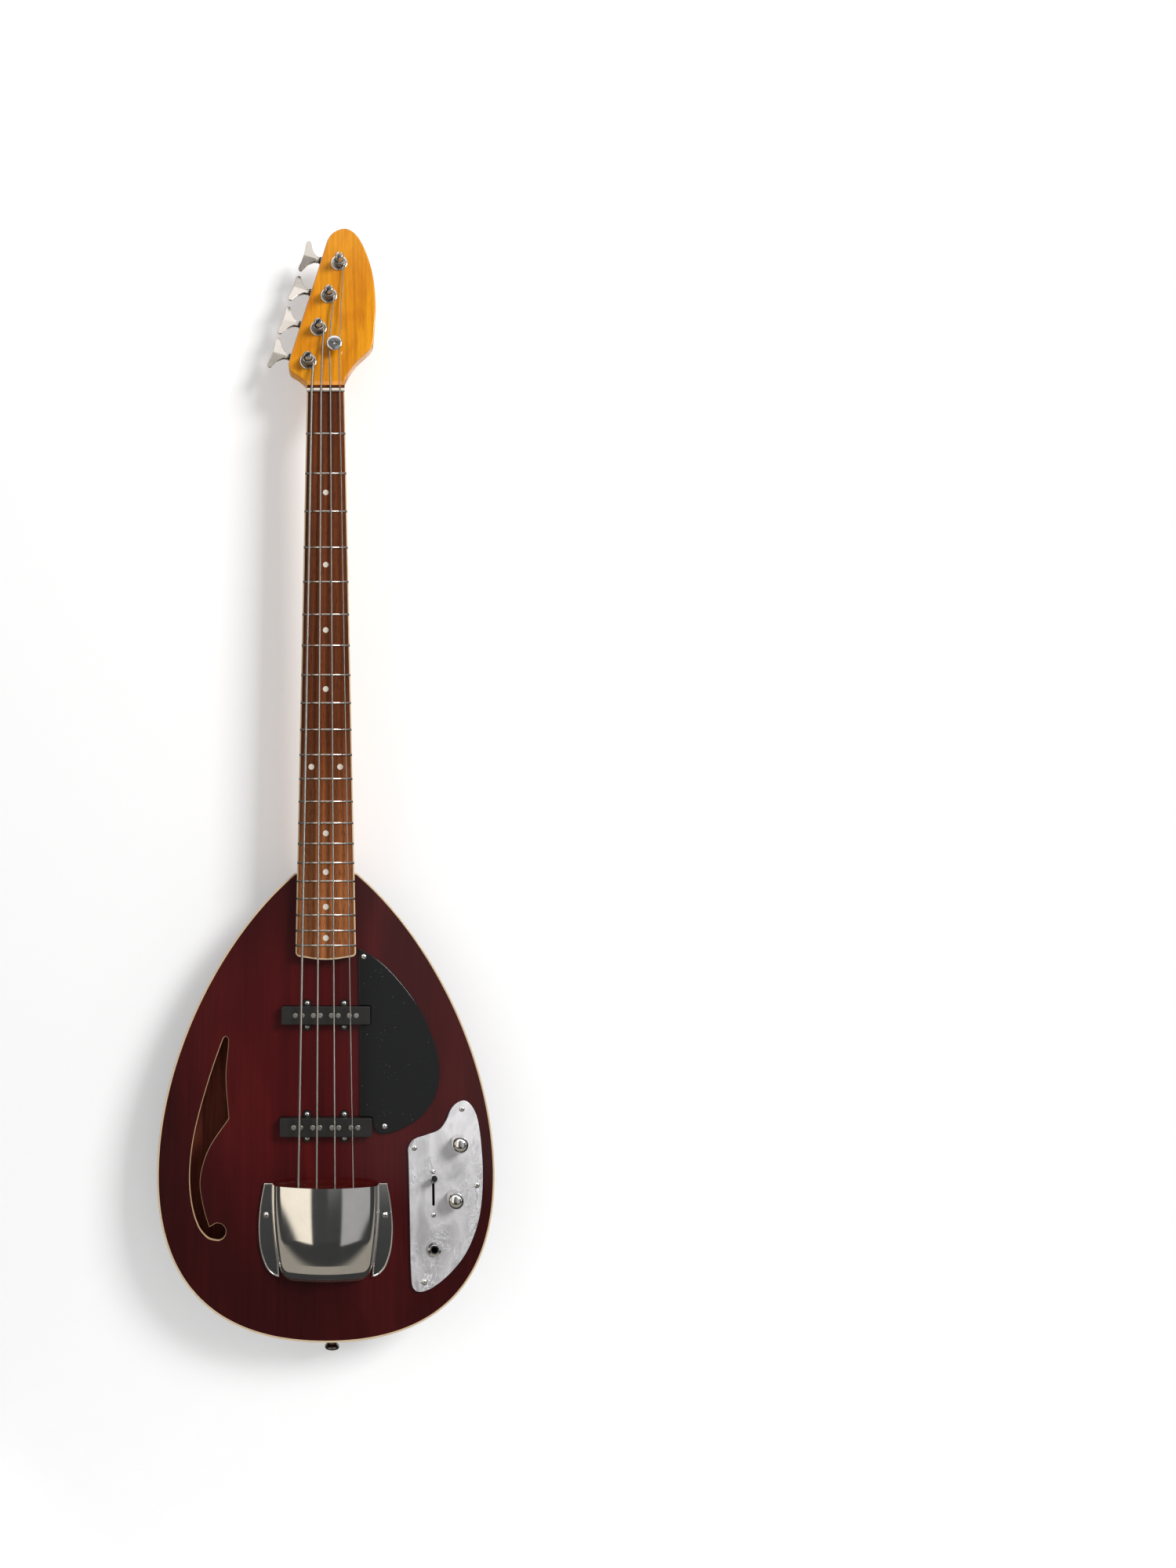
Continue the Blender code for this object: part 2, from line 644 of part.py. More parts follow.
def make_string_retainer():
    """Make the round button that holds down the two highest strings."""
    profile = ((0.0, -0.2), (3.0, -0.2), (3.0, -0.5), (7.6, -0.5), (9.0, -1.5), (9.0, -2.7),
               (8.4, -RETAINER_UNDERSIDE), (2.9, -RETAINER_UNDERSIDE), (2.9, -HEAD_FACE_Y + GAP),
               (0.0, -HEAD_FACE_Y + GAP))
    retainer = turned("string_retainer", profile, at(RETAINER_PLACE[0], 0, RETAINER_PLACE[1], FACE), 14)
    cut(retainer, box("retainer_slot", (6.2, -1.0, 58.1), (13.0, 0.9, 58.9)))
    paint(retainer, "chrome")


def tuner_frame(index, twist=0.0):
    """Return a tuner's frame: X along its key, Y up the headstock's edge, Z out of the back."""
    x, z = post_place(index)
    turn = Matrix(((-math.cos(EDGE_ANGLE), math.sin(EDGE_ANGLE), 0.0),
                   (0.0, 0.0, 1.0),
                   (math.sin(EDGE_ANGLE), math.cos(EDGE_ANGLE), 0.0))).to_4x4()
    place = at(x, HEAD_BACK_Y, z, turn)
    if twist:
        offset = Matrix.Translation((0.0, WORM_OFFSET, WORM_HEIGHT))
        place = place @ offset @ Matrix.Rotation(twist, 4, "X") @ offset.inverted()
    return place


def in_frame(place, *point):
    """Return a point of a frame in the guitar's own millimetres."""
    return tuple(place @ Vector(point))


def make_tuner(index):
    """Make one tuner: its housing, post, key and bushing."""
    number = index + 1
    place = tuner_frame(index)
    x, z = post_place(index)

    base = smooth_loop([(-8.3, 13.4, CORNER), (8.4, 13.4, CORNER), (8.4, 0.0, CORNER), (5.6, -7.0),
                        (2.6, -12.2), (0.0, -13.6), (-2.6, -12.2), (-5.8, -7.0),
                        (-8.3, 0.0, CORNER)], 1)
    housing = prism("tuner_housing_%d" % number, base, GAP, 3.0, place)
    block = [(-8.3, 2.0), (8.4, 2.0), (8.4, 13.4), (-8.3, 13.4)]
    join(housing, prism("casting_%d" % number, block, 2.0, 11.0, place),
         rod("cap_%d" % number, in_frame(place, 0, 0, 2.0), in_frame(place, 0, 0, 13.0), 8.2, 16),
         rod("key_tube_%d" % number, in_frame(place, 2, WORM_OFFSET, WORM_HEIGHT),
             in_frame(place, 24.4, WORM_OFFSET, WORM_HEIGHT), 4.0, 10, 4.3))
    cut(housing,
        rod("gear_room_%d" % number, in_frame(place, 0, 0, -2.0), in_frame(place, 0, 0, 10.5), 6.4, 12),
        rod("worm_room_%d" % number, in_frame(place, -5.6, WORM_OFFSET, WORM_HEIGHT),
            in_frame(place, 5.6, WORM_OFFSET, WORM_HEIGHT), 3.8, 8),
        rod("shaft_bore_%d" % number, in_frame(place, 0, WORM_OFFSET, WORM_HEIGHT),
            in_frame(place, 27, WORM_OFFSET, WORM_HEIGHT), 3.15, 8))
    paint(housing, "chrome")

    gear_front, gear_back = -HEAD_BACK_Y - 1.6, -HEAD_BACK_Y - 8.6
    profile = ((0.0, 4.4), (3.7, 4.4), (4.9, 3.1), (4.9, 1.4), (POST_WAIST_RADIUS, 0.7),
               (POST_WAIST_RADIUS, -9.0), (POST_RADIUS, -9.6), (POST_RADIUS, gear_front),
               (5.8, gear_front), (5.8, gear_back), (0.0, gear_back))
    post = turned("tuner_post_%d" % number, profile, at(x, 0, z, FACE), 12)
    slot = math.radians(35 + 12 * index)
    across = Vector((math.cos(slot), 0.0, math.sin(slot))) * 6.0
    blade = prism("post_slot_%d" % number, [(-6, -0.9), (6, -0.9), (6, 0.9), (-6, 0.9)], -2.0, 6.0,
                  at(x, 0, z, FACE @ Matrix.Rotation(math.atan2(across.z, across.x), 4, "Z")))
    cut(post, blade)
    paint(post, "chrome")

    washer = ((5.25, -BUSHING_FACE_Y), (8.3, -BUSHING_FACE_Y), (9.25, -BUSHING_FACE_Y - 0.5),
              (9.25, -HEAD_FACE_Y + GAP), (6.9, -HEAD_FACE_Y + GAP), (6.9, -22.0), (5.25, -22.0))
    bushing = turned("tuner_bushing_%d" % number, washer, at(x, 0, z, FACE), 12, closed=True)
    paint(bushing, "chrome")

    key_place = tuner_frame(index, KEY_TWISTS[index]) @ at(0, WORM_OFFSET, WORM_HEIGHT)
    spin = key_place @ Matrix.Rotation(math.pi / 2, 4, "Y")
    shaft = ((0.0, 35.0), (1.2, 35.0), (2.6, 29.0), (2.6, 26.4), (3.9, 26.3), (3.9, 24.9),
             (2.6, 24.8), (2.6, 4.5), (3.3, 4.4), (3.3, -4.6), (0.0, -4.6))
    key = turned("tuner_key_%d" % number, shaft, spin, 8)
    half = ((27.0, 2.7), (31.5, 3.9), (36.8, 9.0), (40.2, 15.2), (43.4, 19.2), (46.7, 16.6),
            (45.9, 8.0), (45.4, 0.0))
    other = [(v, -u) for v, u in reversed(half[:-1])]
    join(key, prism("button_%d" % number, smooth_loop(list(half) + other, 2), -1.2, 1.2, key_place))
    paint(key, "nickel")


def winding_points(index):
    """Return the turns of a string round its post, and the point where it leaves."""
    radius = STRING_RADII[index]
    x, z = post_place(index)
    round_post = POST_WAIST_RADIUS + radius + WINDING_CLEARANCE
    target = retainer_points(index)[0] if index > 1 else (string_x(index, 0.0), 0.0, NUT_LENGTH)
    reach = math.hypot(target[0] - x, target[2] - z)
    leave = math.atan2(target[2] - z, target[0] - x) + math.acos(round_post / reach)
    lowest = BUSHING_FACE_Y - WINDING_CLEARANCE - radius
    pitch = 2 * radius + WINDING_GAP
    points = []
    for i in range(WINDING_TURNS[index] * WINDING_POINTS + 1):
        turn = i / WINDING_POINTS
        angle = leave + 2 * math.pi * turn
        points.append((x + round_post * math.cos(angle), lowest - pitch * turn,
                       z + round_post * math.sin(angle)))
    return points[::-1]


def retainer_points(index):
    """Return where one of the two highest strings passes under the retainer."""
    x = RETAINED_STRING_X[index - 2]
    y = RETAINER_UNDERSIDE + STRING_CLEARANCE + STRING_RADII[index]
    return [(x, y, RETAINER_PLACE[1] + 3.0), (x, y, RETAINER_PLACE[1] - 3.0)]


def least_gap(points, radius):
    """Return the least air between one turn of a winding and the next."""
    half_turn = WINDING_POINTS // 2
    least = min((Vector(a) - Vector(b)).length
                for i, a in enumerate(points) for b in points[i + half_turn:])
    return least - 2 * radius


def make_string(index):
    """Make one string from its turns round the post to the bridge."""
    radius = STRING_RADII[index]
    turns = winding_points(index)
    print("string %s: least gap in its winding %.3f mm" % (STRING_NAMES[index], least_gap(turns, radius)))
    route = list(turns)
    if index > 1:
        route += retainer_points(index)
    for z in (NUT_LENGTH + 0.4, -1.5):
        route.append((string_x(index, 0.0), STRING_UNDERSIDE_AT_NUT - radius, z))
    for z in (-SCALE_LENGTH / 2, -SCALE_LENGTH + 6.0):
        route.append((string_x(index, z), string_y(index, z), z))
    last = string_x(index, -SCALE_LENGTH)
    over = STRING_UNDERSIDE_AT_SADDLE - radius
    route += [(last, over, -SCALE_LENGTH - 7.5), (last, 4.0, BRIDGE_WALL_Z + 1.0),
              (last, 4.0, BRIDGE_WALL_Z - 5.0)]
    paint(tube("string_" + STRING_NAMES[index], route, radius), "nickel")


def make_body_shell():
    """Make the routed body: back, rim, centre block, neck pocket and chambers."""
    levels = [(0.0, BODY_FACE_Y + TOP_THICKNESS + GAP)]
    for degrees in (0, 45, 90):
        angle = math.radians(degrees)
        levels.append((BACK_ROUND * (1.0 - math.cos(angle)),
                       BODY_BACK_Y - BACK_ROUND * (1.0 - math.sin(angle))))
    shell = loft("body_shell", [[(x, y, z) for x, z in mirrored(body_edge(inset))]
                                for inset, y in levels])
    cut(shell, plate("binding_rebate", body_band(-6.0, BODY_BINDING_WIDTH + GAP, 28.0),
                     BODY_FACE_Y - 2.0, BODY_FACE_Y + BODY_BINDING_DEPTH + GAP))
    rim = [p for p in body_edge(RIM_THICKNESS) if p[0] > BLOCK_HALF and p[1] < -590.0]
    for side, name in ((1, "right"), (-1, "left")):
        room = [(side * x, z) for x, z in rim] + [(side * BLOCK_HALF, rim[-1][1]),
                                                  (side * BLOCK_HALF, rim[0][1])]
        cut(shell, plate("chamber_" + name, room, BODY_FACE_Y, CHAMBER_FLOOR_Y))
    cut(shell, make_neck_pocket("pocket_in_body"))
    for name, z in PICKUP_PLACES.items():
        cut_pickup_room(shell, name, 0.8, 8.0, 31.0)
        cut(shell, rod(name + "_wire_hole", (40.0, 26.0, z), (BLOCK_HALF + 4.0, 26.0, z), 3.2, 8))
    for i, (x, z) in enumerate(neck_screw_places()):
        cut(shell, rod("body_hole_%d" % (i + 1), (x, HEEL_BACK_Y - 3, z), (x, BODY_BACK_Y + 1, z),
                       NECK_HOLE_RADIUS, 8))
    for side, name in ((-1, "left"), (1, "right")):
        x, z = side * COVER_SCREW[0], COVER_SCREW[1]
        cut(shell, rod("cover_hole_" + name, (x, 12.0, z), (x, 21.0, z), COVER_HOLE_RADIUS, 8))
    cut(shell,
        rod("top_strap_hole", (0, STRAP_BUTTON_Y, SHOULDER_Z + 2), (0, STRAP_BUTTON_Y, SHOULDER_Z - 22),
            STRAP_HOLE_RADIUS, 8),
        rod("end_strap_hole", (END_BUTTON_X, END_BUTTON_Y, BODY_BOTTOM_Z - 2),
            (END_BUTTON_X, END_BUTTON_Y, BODY_BOTTOM_Z + 10), STRAP_HOLE_RADIUS, 8))
    paint(shell, "cherry")


def make_neck_pocket(name):
    """Return a cutter for the pocket that takes the heel."""
    high, low = SHOULDER_Z + 8.0, HEEL_END_Z - GAP
    pocket = [(board_half(high) + GAP, high), (board_half(low) + GAP, low),
              (-board_half(low) - GAP, low), (-board_half(high) - GAP, high)]
    return plate(name, pocket, 5.0, HEEL_BACK_Y + GAP)


def make_top_plate():
    """Make the thin top with its sound hole and its openings."""
    outline = mirrored(body_edge(BODY_BINDING_WIDTH + GAP))
    top = plate("top_plate", outline, BODY_FACE_Y, BODY_FACE_Y + TOP_THICKNESS)
    opening = [(125.0, -794.5), (152.0, -794.5), (153.0, -860.0), (146.0, -893.0), (124.0, -928.0),
               (97.0, -928.0), (97.0, -828.0), (122.0, -818.0)]
    cut(top, plate("sound_hole", sound_hole_outline(), 8.0, 16.0),
        plate("control_opening", opening, 8.0, 16.0), make_neck_pocket("pocket_in_top"))
    for name in PICKUP_PLACES:
        cut_pickup_room(top, name, 0.6, 7.0, 17.0)
    for side, name in ((-1, "left"), (1, "right")):
        x, z = side * COVER_SCREW[0], COVER_SCREW[1]
        cut(top, rod("top_hole_" + name, (x, 8.0, z), (x, 16.0, z), COVER_HOLE_RADIUS, 8))
    paint(top, "cherry")


def make_body_binding():
    """Make the cream strip round the front edge of the body."""
    band = plate("body_binding", body_band(0.0, BODY_BINDING_WIDTH), BODY_FACE_Y,
                 BODY_FACE_Y + BODY_BINDING_DEPTH)
    paint(band, "cream")


def make_pickup(name):
    """Make a pickup: a black cover with four ears, and a coil with eight poles."""
    middle_z = PICKUP_PLACES[name]
    half, side = PICKUP_LENGTHS[name] / 2, PICKUP_WIDTH / 2
    poles = [pair * POLE_PAIR_STEPS[name] + offset
             for pair in (-1.5, -0.5, 0.5, 1.5) for offset in (-POLE_OFFSET, POLE_OFFSET)]
    shape = rounded_rectangle(half, side, 1.6, (0.0, middle_z), 2)
    cover = plate(name + "_pickup_cover", shape, PICKUP_FACE_Y, 17.0)
    for i, (x, z) in enumerate(ear_places(name)):
        join(cover, rod("%s_ear_%d" % (name, i + 1), (x, 8.8, z), (x, 12.0, z), EAR_RADIUS, 12))
    cut(cover, box(name + "_cover_room", (-half + 1.5, PICKUP_FACE_Y + 1.6, middle_z - side + 1.5),
                   (half - 1.5, 19.0, middle_z + side - 1.5)))

    def holes(bm):
        for x in poles:
            place = Matrix.Translation((x * MM, 2.0 * MM, middle_z * MM)) @ FACE
            bmesh.ops.create_cone(bm, cap_ends=True, segments=8, radius1=POLE_HOLE_RADIUS * MM,
                                  radius2=POLE_HOLE_RADIUS * MM, depth=6.0 * MM, matrix=place)

    def magnets(bm):
        for x in poles:
            place = Matrix.Translation((x * MM, 7.3 * MM, middle_z * MM)) @ FACE
            bmesh.ops.create_cone(bm, cap_ends=True, segments=8, radius1=POLE_RADIUS * MM,
                                  radius2=POLE_RADIUS * MM, depth=13.4 * MM, matrix=place)

    cut(cover, new_piece(name + "_pole_holes", mesh_from(name + "_pole_holes", holes)))
    paint(cover, "black_matte")
    coil = box(name + "_pickup_coil", (-half + 4.0, 3.2, middle_z - 6.0),
               (half - 4.0, 13.5, middle_z + 6.0))
    join(coil, new_piece(name + "_poles", mesh_from(name + "_poles", magnets)))
    paint(coil, "steel")


def make_face_plates():
    """Make the black pickguard and the pearl control plate."""
    paint(plate("pickguard", pickguard_outline(), PLATE_FRONT_Y, PLATE_BACK_Y), "black")
    control = plate("control_plate", control_plate_outline(), PLATE_FRONT_Y, PLATE_BACK_Y)
    for name, (x, z) in (("volume", VOLUME_AXIS), ("tone", TONE_AXIS), ("jack", JACK_AXIS)):
        cut(control, rod(name + "_hole", (x, 5.0, z), (x, 12.0, z), 5.1, 12))
    x, z = SWITCH_AXIS
    slot = (arc((x, z + SWITCH_SLOT_HALF), SWITCH_SLOT_RADIUS, 0, 180, 4)
            + arc((x, z - SWITCH_SLOT_HALF), SWITCH_SLOT_RADIUS, 180, 360, 4))
    cut(control, plate("switch_slot", slot, 5.0, 12.0))
    paint(control, "pearl")


def make_control(name, axis):
    """Make a potentiometer, its shaft and the domed knob on it."""
    place = at(axis[0], 0, axis[1], FACE)
    dome = ((0.0, 9.0), (3.6, 8.7), (6.4, 7.5), (8.1, 5.2), (8.7, 2.2), (KNOB_RADIUS, -6.9),
            (7.4, -6.9), (7.4, -4.4), (3.4, -4.4), (3.4, 4.5), (0.0, 4.5))
    paint(turned(name + "_knob", dome, place, 16), "chrome")
    shaft = ((0.0, 4.1), (3.0, 4.1), (3.0, -12.4), (8.0, -12.4), (8.0, -14.2), (0.0, -14.2))
    paint(turned(name + "_shaft", shaft, place, 10), "brass")
    can = ((0.0, -15.0), (8.6, -15.0), (8.6, -11.8), (3.4, -11.8), (3.4, -4.9), (4.7, -4.9),
           (4.7, -5.3), (6.4, -5.3), (6.4, -7.1), (4.7, -7.1), (4.7, -10.4), (12.0, -10.4),
           (12.0, -19.5), (0.0, -19.5))
    paint(turned(name + "_potentiometer", can, place, 10), "steel")


def make_switch():
    """Make the lever switch: its frame under the plate, and the lever."""
    x, z = SWITCH_AXIS
    frame = box("switch_frame", (x - 4.6, PLATE_BACK_Y + GAP, z - 24.0), (x + 4.6, 36.0, z + 24.0))
    cut(frame,
        box("switch_window", (x - 1.6, 5.0, z - 18.0), (x + 1.6, 33.5, z + 18.0)),
        box("switch_side_left", (x - 6.0, 13.0, z - 20.5), (x - 3.0, 40.0, z + 20.5)),
        box("switch_side_right", (x + 3.0, 13.0, z - 20.5), (x + 6.0, 40.0, z + 20.5)))
    paint(frame, "steel")
    pivot = at(x, SWITCH_PIVOT_Y, z, Matrix.Rotation(-SWITCH_REST, 4, "X") @ FACE)
    blade = prism("switch_lever", [(-0.6, -2.4), (0.6, -2.4), (0.6, 2.4), (-0.6, 2.4)], -2.4, 37.0, pivot)
    tip = rod("switch_tip", in_frame(pivot, 0, 0, 29.5), in_frame(pivot, 0, 0, 39.5), 3.6, 12, 3.1)
    join(blade, tip)
    paint(blade, "black")


def make_jack():
    """Make the output jack with its nut and its socket."""
    profile = ((3.2, -4.4), (4.7, -4.4), (4.7, -5.2), (6.9, -5.6), (6.9, -7.1), (4.7, -7.1),
               (4.7, -10.6), (7.4, -10.6), (7.4, -34.0), (3.2, -34.0))
    jack = turned("output_jack", profile, at(JACK_AXIS[0], 0, JACK_AXIS[1], FACE), 12, closed=True)
    paint(jack, "chrome")


def make_bridge():
    """Make the bridge plate with its back wall and screws, and four saddles."""
    base = box("bridge_plate", (-41.0, 7.7, BRIDGE_WALL_Z - 2.2), (41.0, 9.7, -857.0))
    join(base, box("bridge_wall", (-41.0, -3.6, BRIDGE_WALL_Z - 2.2), (41.0, 8.5, BRIDGE_WALL_Z)))
    axis_y = STRING_UNDERSIDE_AT_SADDLE + STRING_CLEARANCE + SADDLE_RADIUS
    for i, name in enumerate(STRING_NAMES):
        x = string_x(i, -SCALE_LENGTH)
        cut(base, rod("string_hole_" + name, (x, 4.0, BRIDGE_WALL_Z - 5.0), (x, 4.0, BRIDGE_WALL_Z + 2.0),
                      STRING_RADII[i] + 0.5, 10))
        screw_x = x + INTONATION_OFFSET
        join(base, rod("intonation_screw_" + name, (screw_x, axis_y, BRIDGE_WALL_Z - 1.0),
                       (screw_x, axis_y, -857.5), 1.4, 8),
             rod("intonation_head_" + name, (screw_x, axis_y, BRIDGE_WALL_Z - 4.2),
                 (screw_x, axis_y, BRIDGE_WALL_Z - 1.2), 2.6, 8))
        saddle = rod("saddle_" + name, (x - SADDLE_HALF_LENGTH, axis_y, -SCALE_LENGTH),
                     (x + SADDLE_HALF_LENGTH, axis_y, -SCALE_LENGTH), SADDLE_RADIUS, 12)
        for side in (-1, 1):
            join(saddle, rod("height_screw_%s_%d" % (name, side), (x + side * 7.2, 2.0, -SCALE_LENGTH),
                             (x + side * 7.2, 7.4, -SCALE_LENGTH), 1.3, 8))
        cut(saddle, rod("saddle_bore_" + name, (screw_x, axis_y, -SCALE_LENGTH - 8.0),
                        (screw_x, axis_y, -SCALE_LENGTH + 8.0), 1.85, 10))
        paint(saddle, "brass")
    paint(base, "chrome")


def cover_tail(z):
    """Return how far a height is down the cover's rounded tail, from 0 to 1."""
    return min(1.0, max(0.0, (COVER_SHOULDER_Z - z) / (COVER_SHOULDER_Z - COVER_TAIL_Z)))


def cover_half(z):
    """Return half the width of the cover's shell at a height."""
    drawn = max(0.0, (COVER_TAPER_Z - z) / (COVER_TAPER_Z - COVER_TAIL_Z))
    return (COVER_HALF - COVER_TAPER * drawn ** 1.7) * (1.0 - cover_tail(z) ** 6) ** (1.0 / 6.0)


def cover_rise(z):
    """Return the height of the cover's shell above the body at a height."""
    return COVER_HEIGHT * (1.0 - cover_tail(z) ** 2.6) ** (1.0 / 2.6)


def make_bridge_cover():
    """Make the chrome cover: an arched shell with a flat wing on either side."""
    base_y = BODY_FACE_Y - 2 * GAP
    heights = [COVER_TOP_Z, -866.0, -884.0, -900.0, -914.0, -925.5, -934.5, -940.5, -943.6]
    steps, power = 14, COVER_SECTION_POWER

    def arches(bm):
        rows = []
        for z in heights:
            row = []
            for i in range(steps + 1):
                angle = math.pi * i / steps
                across = math.copysign(abs(math.cos(angle)) ** (2.0 / power), math.cos(angle))
                rise = math.sin(angle) ** (2.0 / power) if 0 < i < steps else 0.0
                row.append(bm.verts.new(Vector((cover_half(z) * across,
                                                base_y - cover_rise(z) * rise, z)) * MM))
            rows.append(row)
        for one, two in zip(rows, rows[1:]):
            for i in range(steps):
                bm.faces.new((one[i], one[i + 1], two[i + 1], two[i]))
        tail = bm.verts.new(Vector((0.0, base_y, COVER_TAIL_Z)) * MM)
        for i in range(steps):
            bm.faces.new((rows[-1][i], rows[-1][i + 1], tail))

    cover = new_piece("bridge_cover", mesh_from("bridge_cover", arches))
    wall = cover.modifiers.new("wall", "SOLIDIFY")
    wall.thickness = COVER_WALL * MM
    wall.offset = -1.0
    outer = ((63.2, COVER_TOP_Z), (66.9, -868.0), (68.7, -891.0), (67.0, -913.0), (61.4, -930.0),
             (54.0, -938.4), (47.0, -940.6))
    inner = [(cover_half(z) - 0.7, z)
             for z in (-936.0, -925.5, -914.0, -900.0, -884.0, -866.0, COVER_TOP_Z)]
    for side, name in ((-1, "left"), (1, "right")):
        shape = [(side * x, z) for x, z in list(outer) + inner]
        join(cover, plate("wing_" + name, shape, base_y - 2.4, base_y))
        x, z = side * COVER_SCREW[0], COVER_SCREW[1]
        cut(cover, rod("wing_hole_" + name, (x, 4.0, z), (x, 12.0, z), COVER_HOLE_RADIUS, 8))
        head = ((0.0, -4.6), (1.7, -4.9), (3.0, -6.0), (3.0, -6.7), (1.2, -6.7), (1.2, -19.5), (0.0, -19.5))
        paint(turned("cover_screw_" + name, head, at(x, 0, z, FACE), 10), "chrome")
    paint(cover, "chrome")


def make_neck_plate():
    """Make the plate and the four screws that hold the neck."""
    outline = rounded_rectangle(*NECK_PLATE_HALF, 6.0, (0.0, NECK_PLATE_Z))
    front, back = BODY_BACK_Y + GAP, BODY_BACK_Y + GAP + 1.6
    neck_plate = plate("neck_plate", outline, front, back)
    for i, (x, z) in enumerate(neck_screw_places()):
        cut(neck_plate, rod("plate_hole_%d" % (i + 1), (x, front - 1, z), (x, back + 1, z),
                            NECK_HOLE_RADIUS, 10))
        seat = back + GAP
        profile = ((0.0, seat + 2.2), (2.8, seat + 1.8), (4.6, seat + 0.6), (4.6, seat), (2.2, seat),
                   (2.2, 12.0), (0.0, 12.0))
        screw = turned("neck_screw_%d" % (i + 1), profile, at(x, 0, z, BACK), 12)
        cut(screw,
            box("recess_wide_%d" % (i + 1), (x - 2.3, seat + 1.0, z - 0.5), (x + 2.3, seat + 4.0, z + 0.5)),
            box("recess_high_%d" % (i + 1), (x - 0.5, seat + 0.9, z - 2.3), (x + 0.5, seat + 4.0, z + 2.3)))
        paint(screw, "chrome")
    paint(neck_plate, "chrome")


def make_strap_buttons():
    """Make the two buttons for the strap, each with its screw."""
    profile = ((0.0, 13.0), (2.6, 13.0), (3.2, 14.2), (6.2, 14.2), (7.3, 13.2), (7.3, 11.6),
               (4.4, 8.6), (4.0, 5.2), (5.2, 1.6), (5.6, GAP), (1.9, GAP), (1.9, -9.0), (0.0, -9.0))
    up = at(0, STRAP_BUTTON_Y, SHOULDER_Z)
    down = at(END_BUTTON_X, END_BUTTON_Y, BODY_BOTTOM_Z, Matrix.Rotation(math.pi, 4, "X"))
    paint(turned("strap_button_neck", profile, up, 10), "nickel")
    paint(turned("strap_button_end", profile, down, 10), "nickel")


def main():
    make_body_shell()
    make_top_plate()
    make_body_binding()
    make_neck()
    make_fingerboard()
    make_fingerboard_binding()
    make_nut()
    make_truss_rod()
    make_string_retainer()
    for index in range(TUNER_COUNT):
        make_tuner(index)
        make_string(index)
    for name in PICKUP_PLACES:
        make_pickup(name)
    make_face_plates()
    make_control("volume", VOLUME_AXIS)
    make_control("tone", TONE_AXIS)
    make_switch()
    make_jack()
    make_bridge()
    make_bridge_cover()
    make_neck_plate()
    make_strap_buttons()


main()
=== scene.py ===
"""Looks of a semi-hollow bass guitar with a teardrop body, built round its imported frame.

X runs across the strings, Y from the face to the back and Z up the neck, as in the frame.
Shapes are drawn in millimetres, and scaled to metres when they are put in place.
"""

import json
import math

import bmesh
import bpy
from bpy.props import FloatProperty, FloatVectorProperty, IntProperty, PointerProperty
from mathutils import Matrix, Vector
from mathutils.geometry import interpolate_bezier


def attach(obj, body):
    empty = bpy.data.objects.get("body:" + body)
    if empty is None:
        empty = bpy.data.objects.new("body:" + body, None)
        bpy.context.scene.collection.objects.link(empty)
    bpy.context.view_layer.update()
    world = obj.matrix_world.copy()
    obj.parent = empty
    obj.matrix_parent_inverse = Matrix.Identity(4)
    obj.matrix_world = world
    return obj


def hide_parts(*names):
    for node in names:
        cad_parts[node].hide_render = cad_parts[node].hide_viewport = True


bl_info = {
    "name": "Teardrop bass guitar looks",
    "version": (1, 0, 0),
    "blender": (4, 5, 0),
    "location": "3D View > Sidebar > Bass guitar",
    "description": "Dresses the packed frame of a semi-hollow bass guitar",
    "category": "Object",
}

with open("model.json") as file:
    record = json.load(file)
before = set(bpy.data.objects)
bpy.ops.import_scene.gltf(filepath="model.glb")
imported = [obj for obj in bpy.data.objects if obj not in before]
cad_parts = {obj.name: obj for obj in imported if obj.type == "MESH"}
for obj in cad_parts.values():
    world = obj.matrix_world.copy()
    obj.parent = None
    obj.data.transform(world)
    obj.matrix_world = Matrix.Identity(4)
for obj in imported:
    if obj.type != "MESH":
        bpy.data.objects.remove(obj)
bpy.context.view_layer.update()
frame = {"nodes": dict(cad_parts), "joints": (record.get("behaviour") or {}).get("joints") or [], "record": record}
RECORD = frame["record"]
NODE_SLOT = {entry["node"]: entry["material_slot"] for entry in RECORD["subparts"]}
BODY_OF = {node: body for body, nodes in RECORD["behaviour"]["bodies"].items() for node in nodes}

MM = 0.001
GAP = 0.3                      # clearance between pieces that touch
AXIS = {joint["name"]: Vector(joint.get("pos_m") or (0, 0, 0)) / MM for joint in frame["joints"]}
FACE = Matrix.Rotation(math.pi / 2, 4, "X")      # local Z points out of the face
BACK = Matrix.Rotation(-math.pi / 2, 4, "X")     # local Z points out of the back
CORNER = "corner"
FINISH = {}
TREES = {}

# The photograph's camera, in metres, degrees and pixels
PHOTO_WIDTH = 1500
PHOTO_HEIGHT = 2000
FOCAL_PIXELS = 1347.4
PICTURE_AXIS_X = 415.5
CAMERA_PLACE = (0.0, -1.1145, -0.564)
CAMERA_PITCH = 6.473
SENSOR = 36.0

# Fingerboard and strings
BOARD_END_Z = -622.0           # middle of the curved end
BOARD_SIDE_END_Z = -614.0      # where the straight sides stop
BOARD_TOP_Z = 8.5              # the short strip above the nut ends here
BOARD_THICKNESS = 5.5
BOARD_CORNER = 5.0
BINDING_WIDTH = 1.6
NUT_LENGTH = 3.4
NUT_SLOT_DEPTH = 4.0
MARKED_FRETS = (3, 5, 7, 9, 15, 17, 19, 21)
OCTAVE_FRET = 12
OCTAVE_MARKER_X = 15.3
STRING_NAMES = ("e", "a", "d", "g")
STRING_RADII = (1.3, 1.05, 0.83, 0.58)
WINDING_TURNS = (2, 2, 3, 3)
WINDING_POINTS = 48
WINDING_GAP = 0.45             # air between one turn and the next
WRAP_PITCHES = (0.46, 0.40, 0.34, 0.28)    # of the wire wound on each string
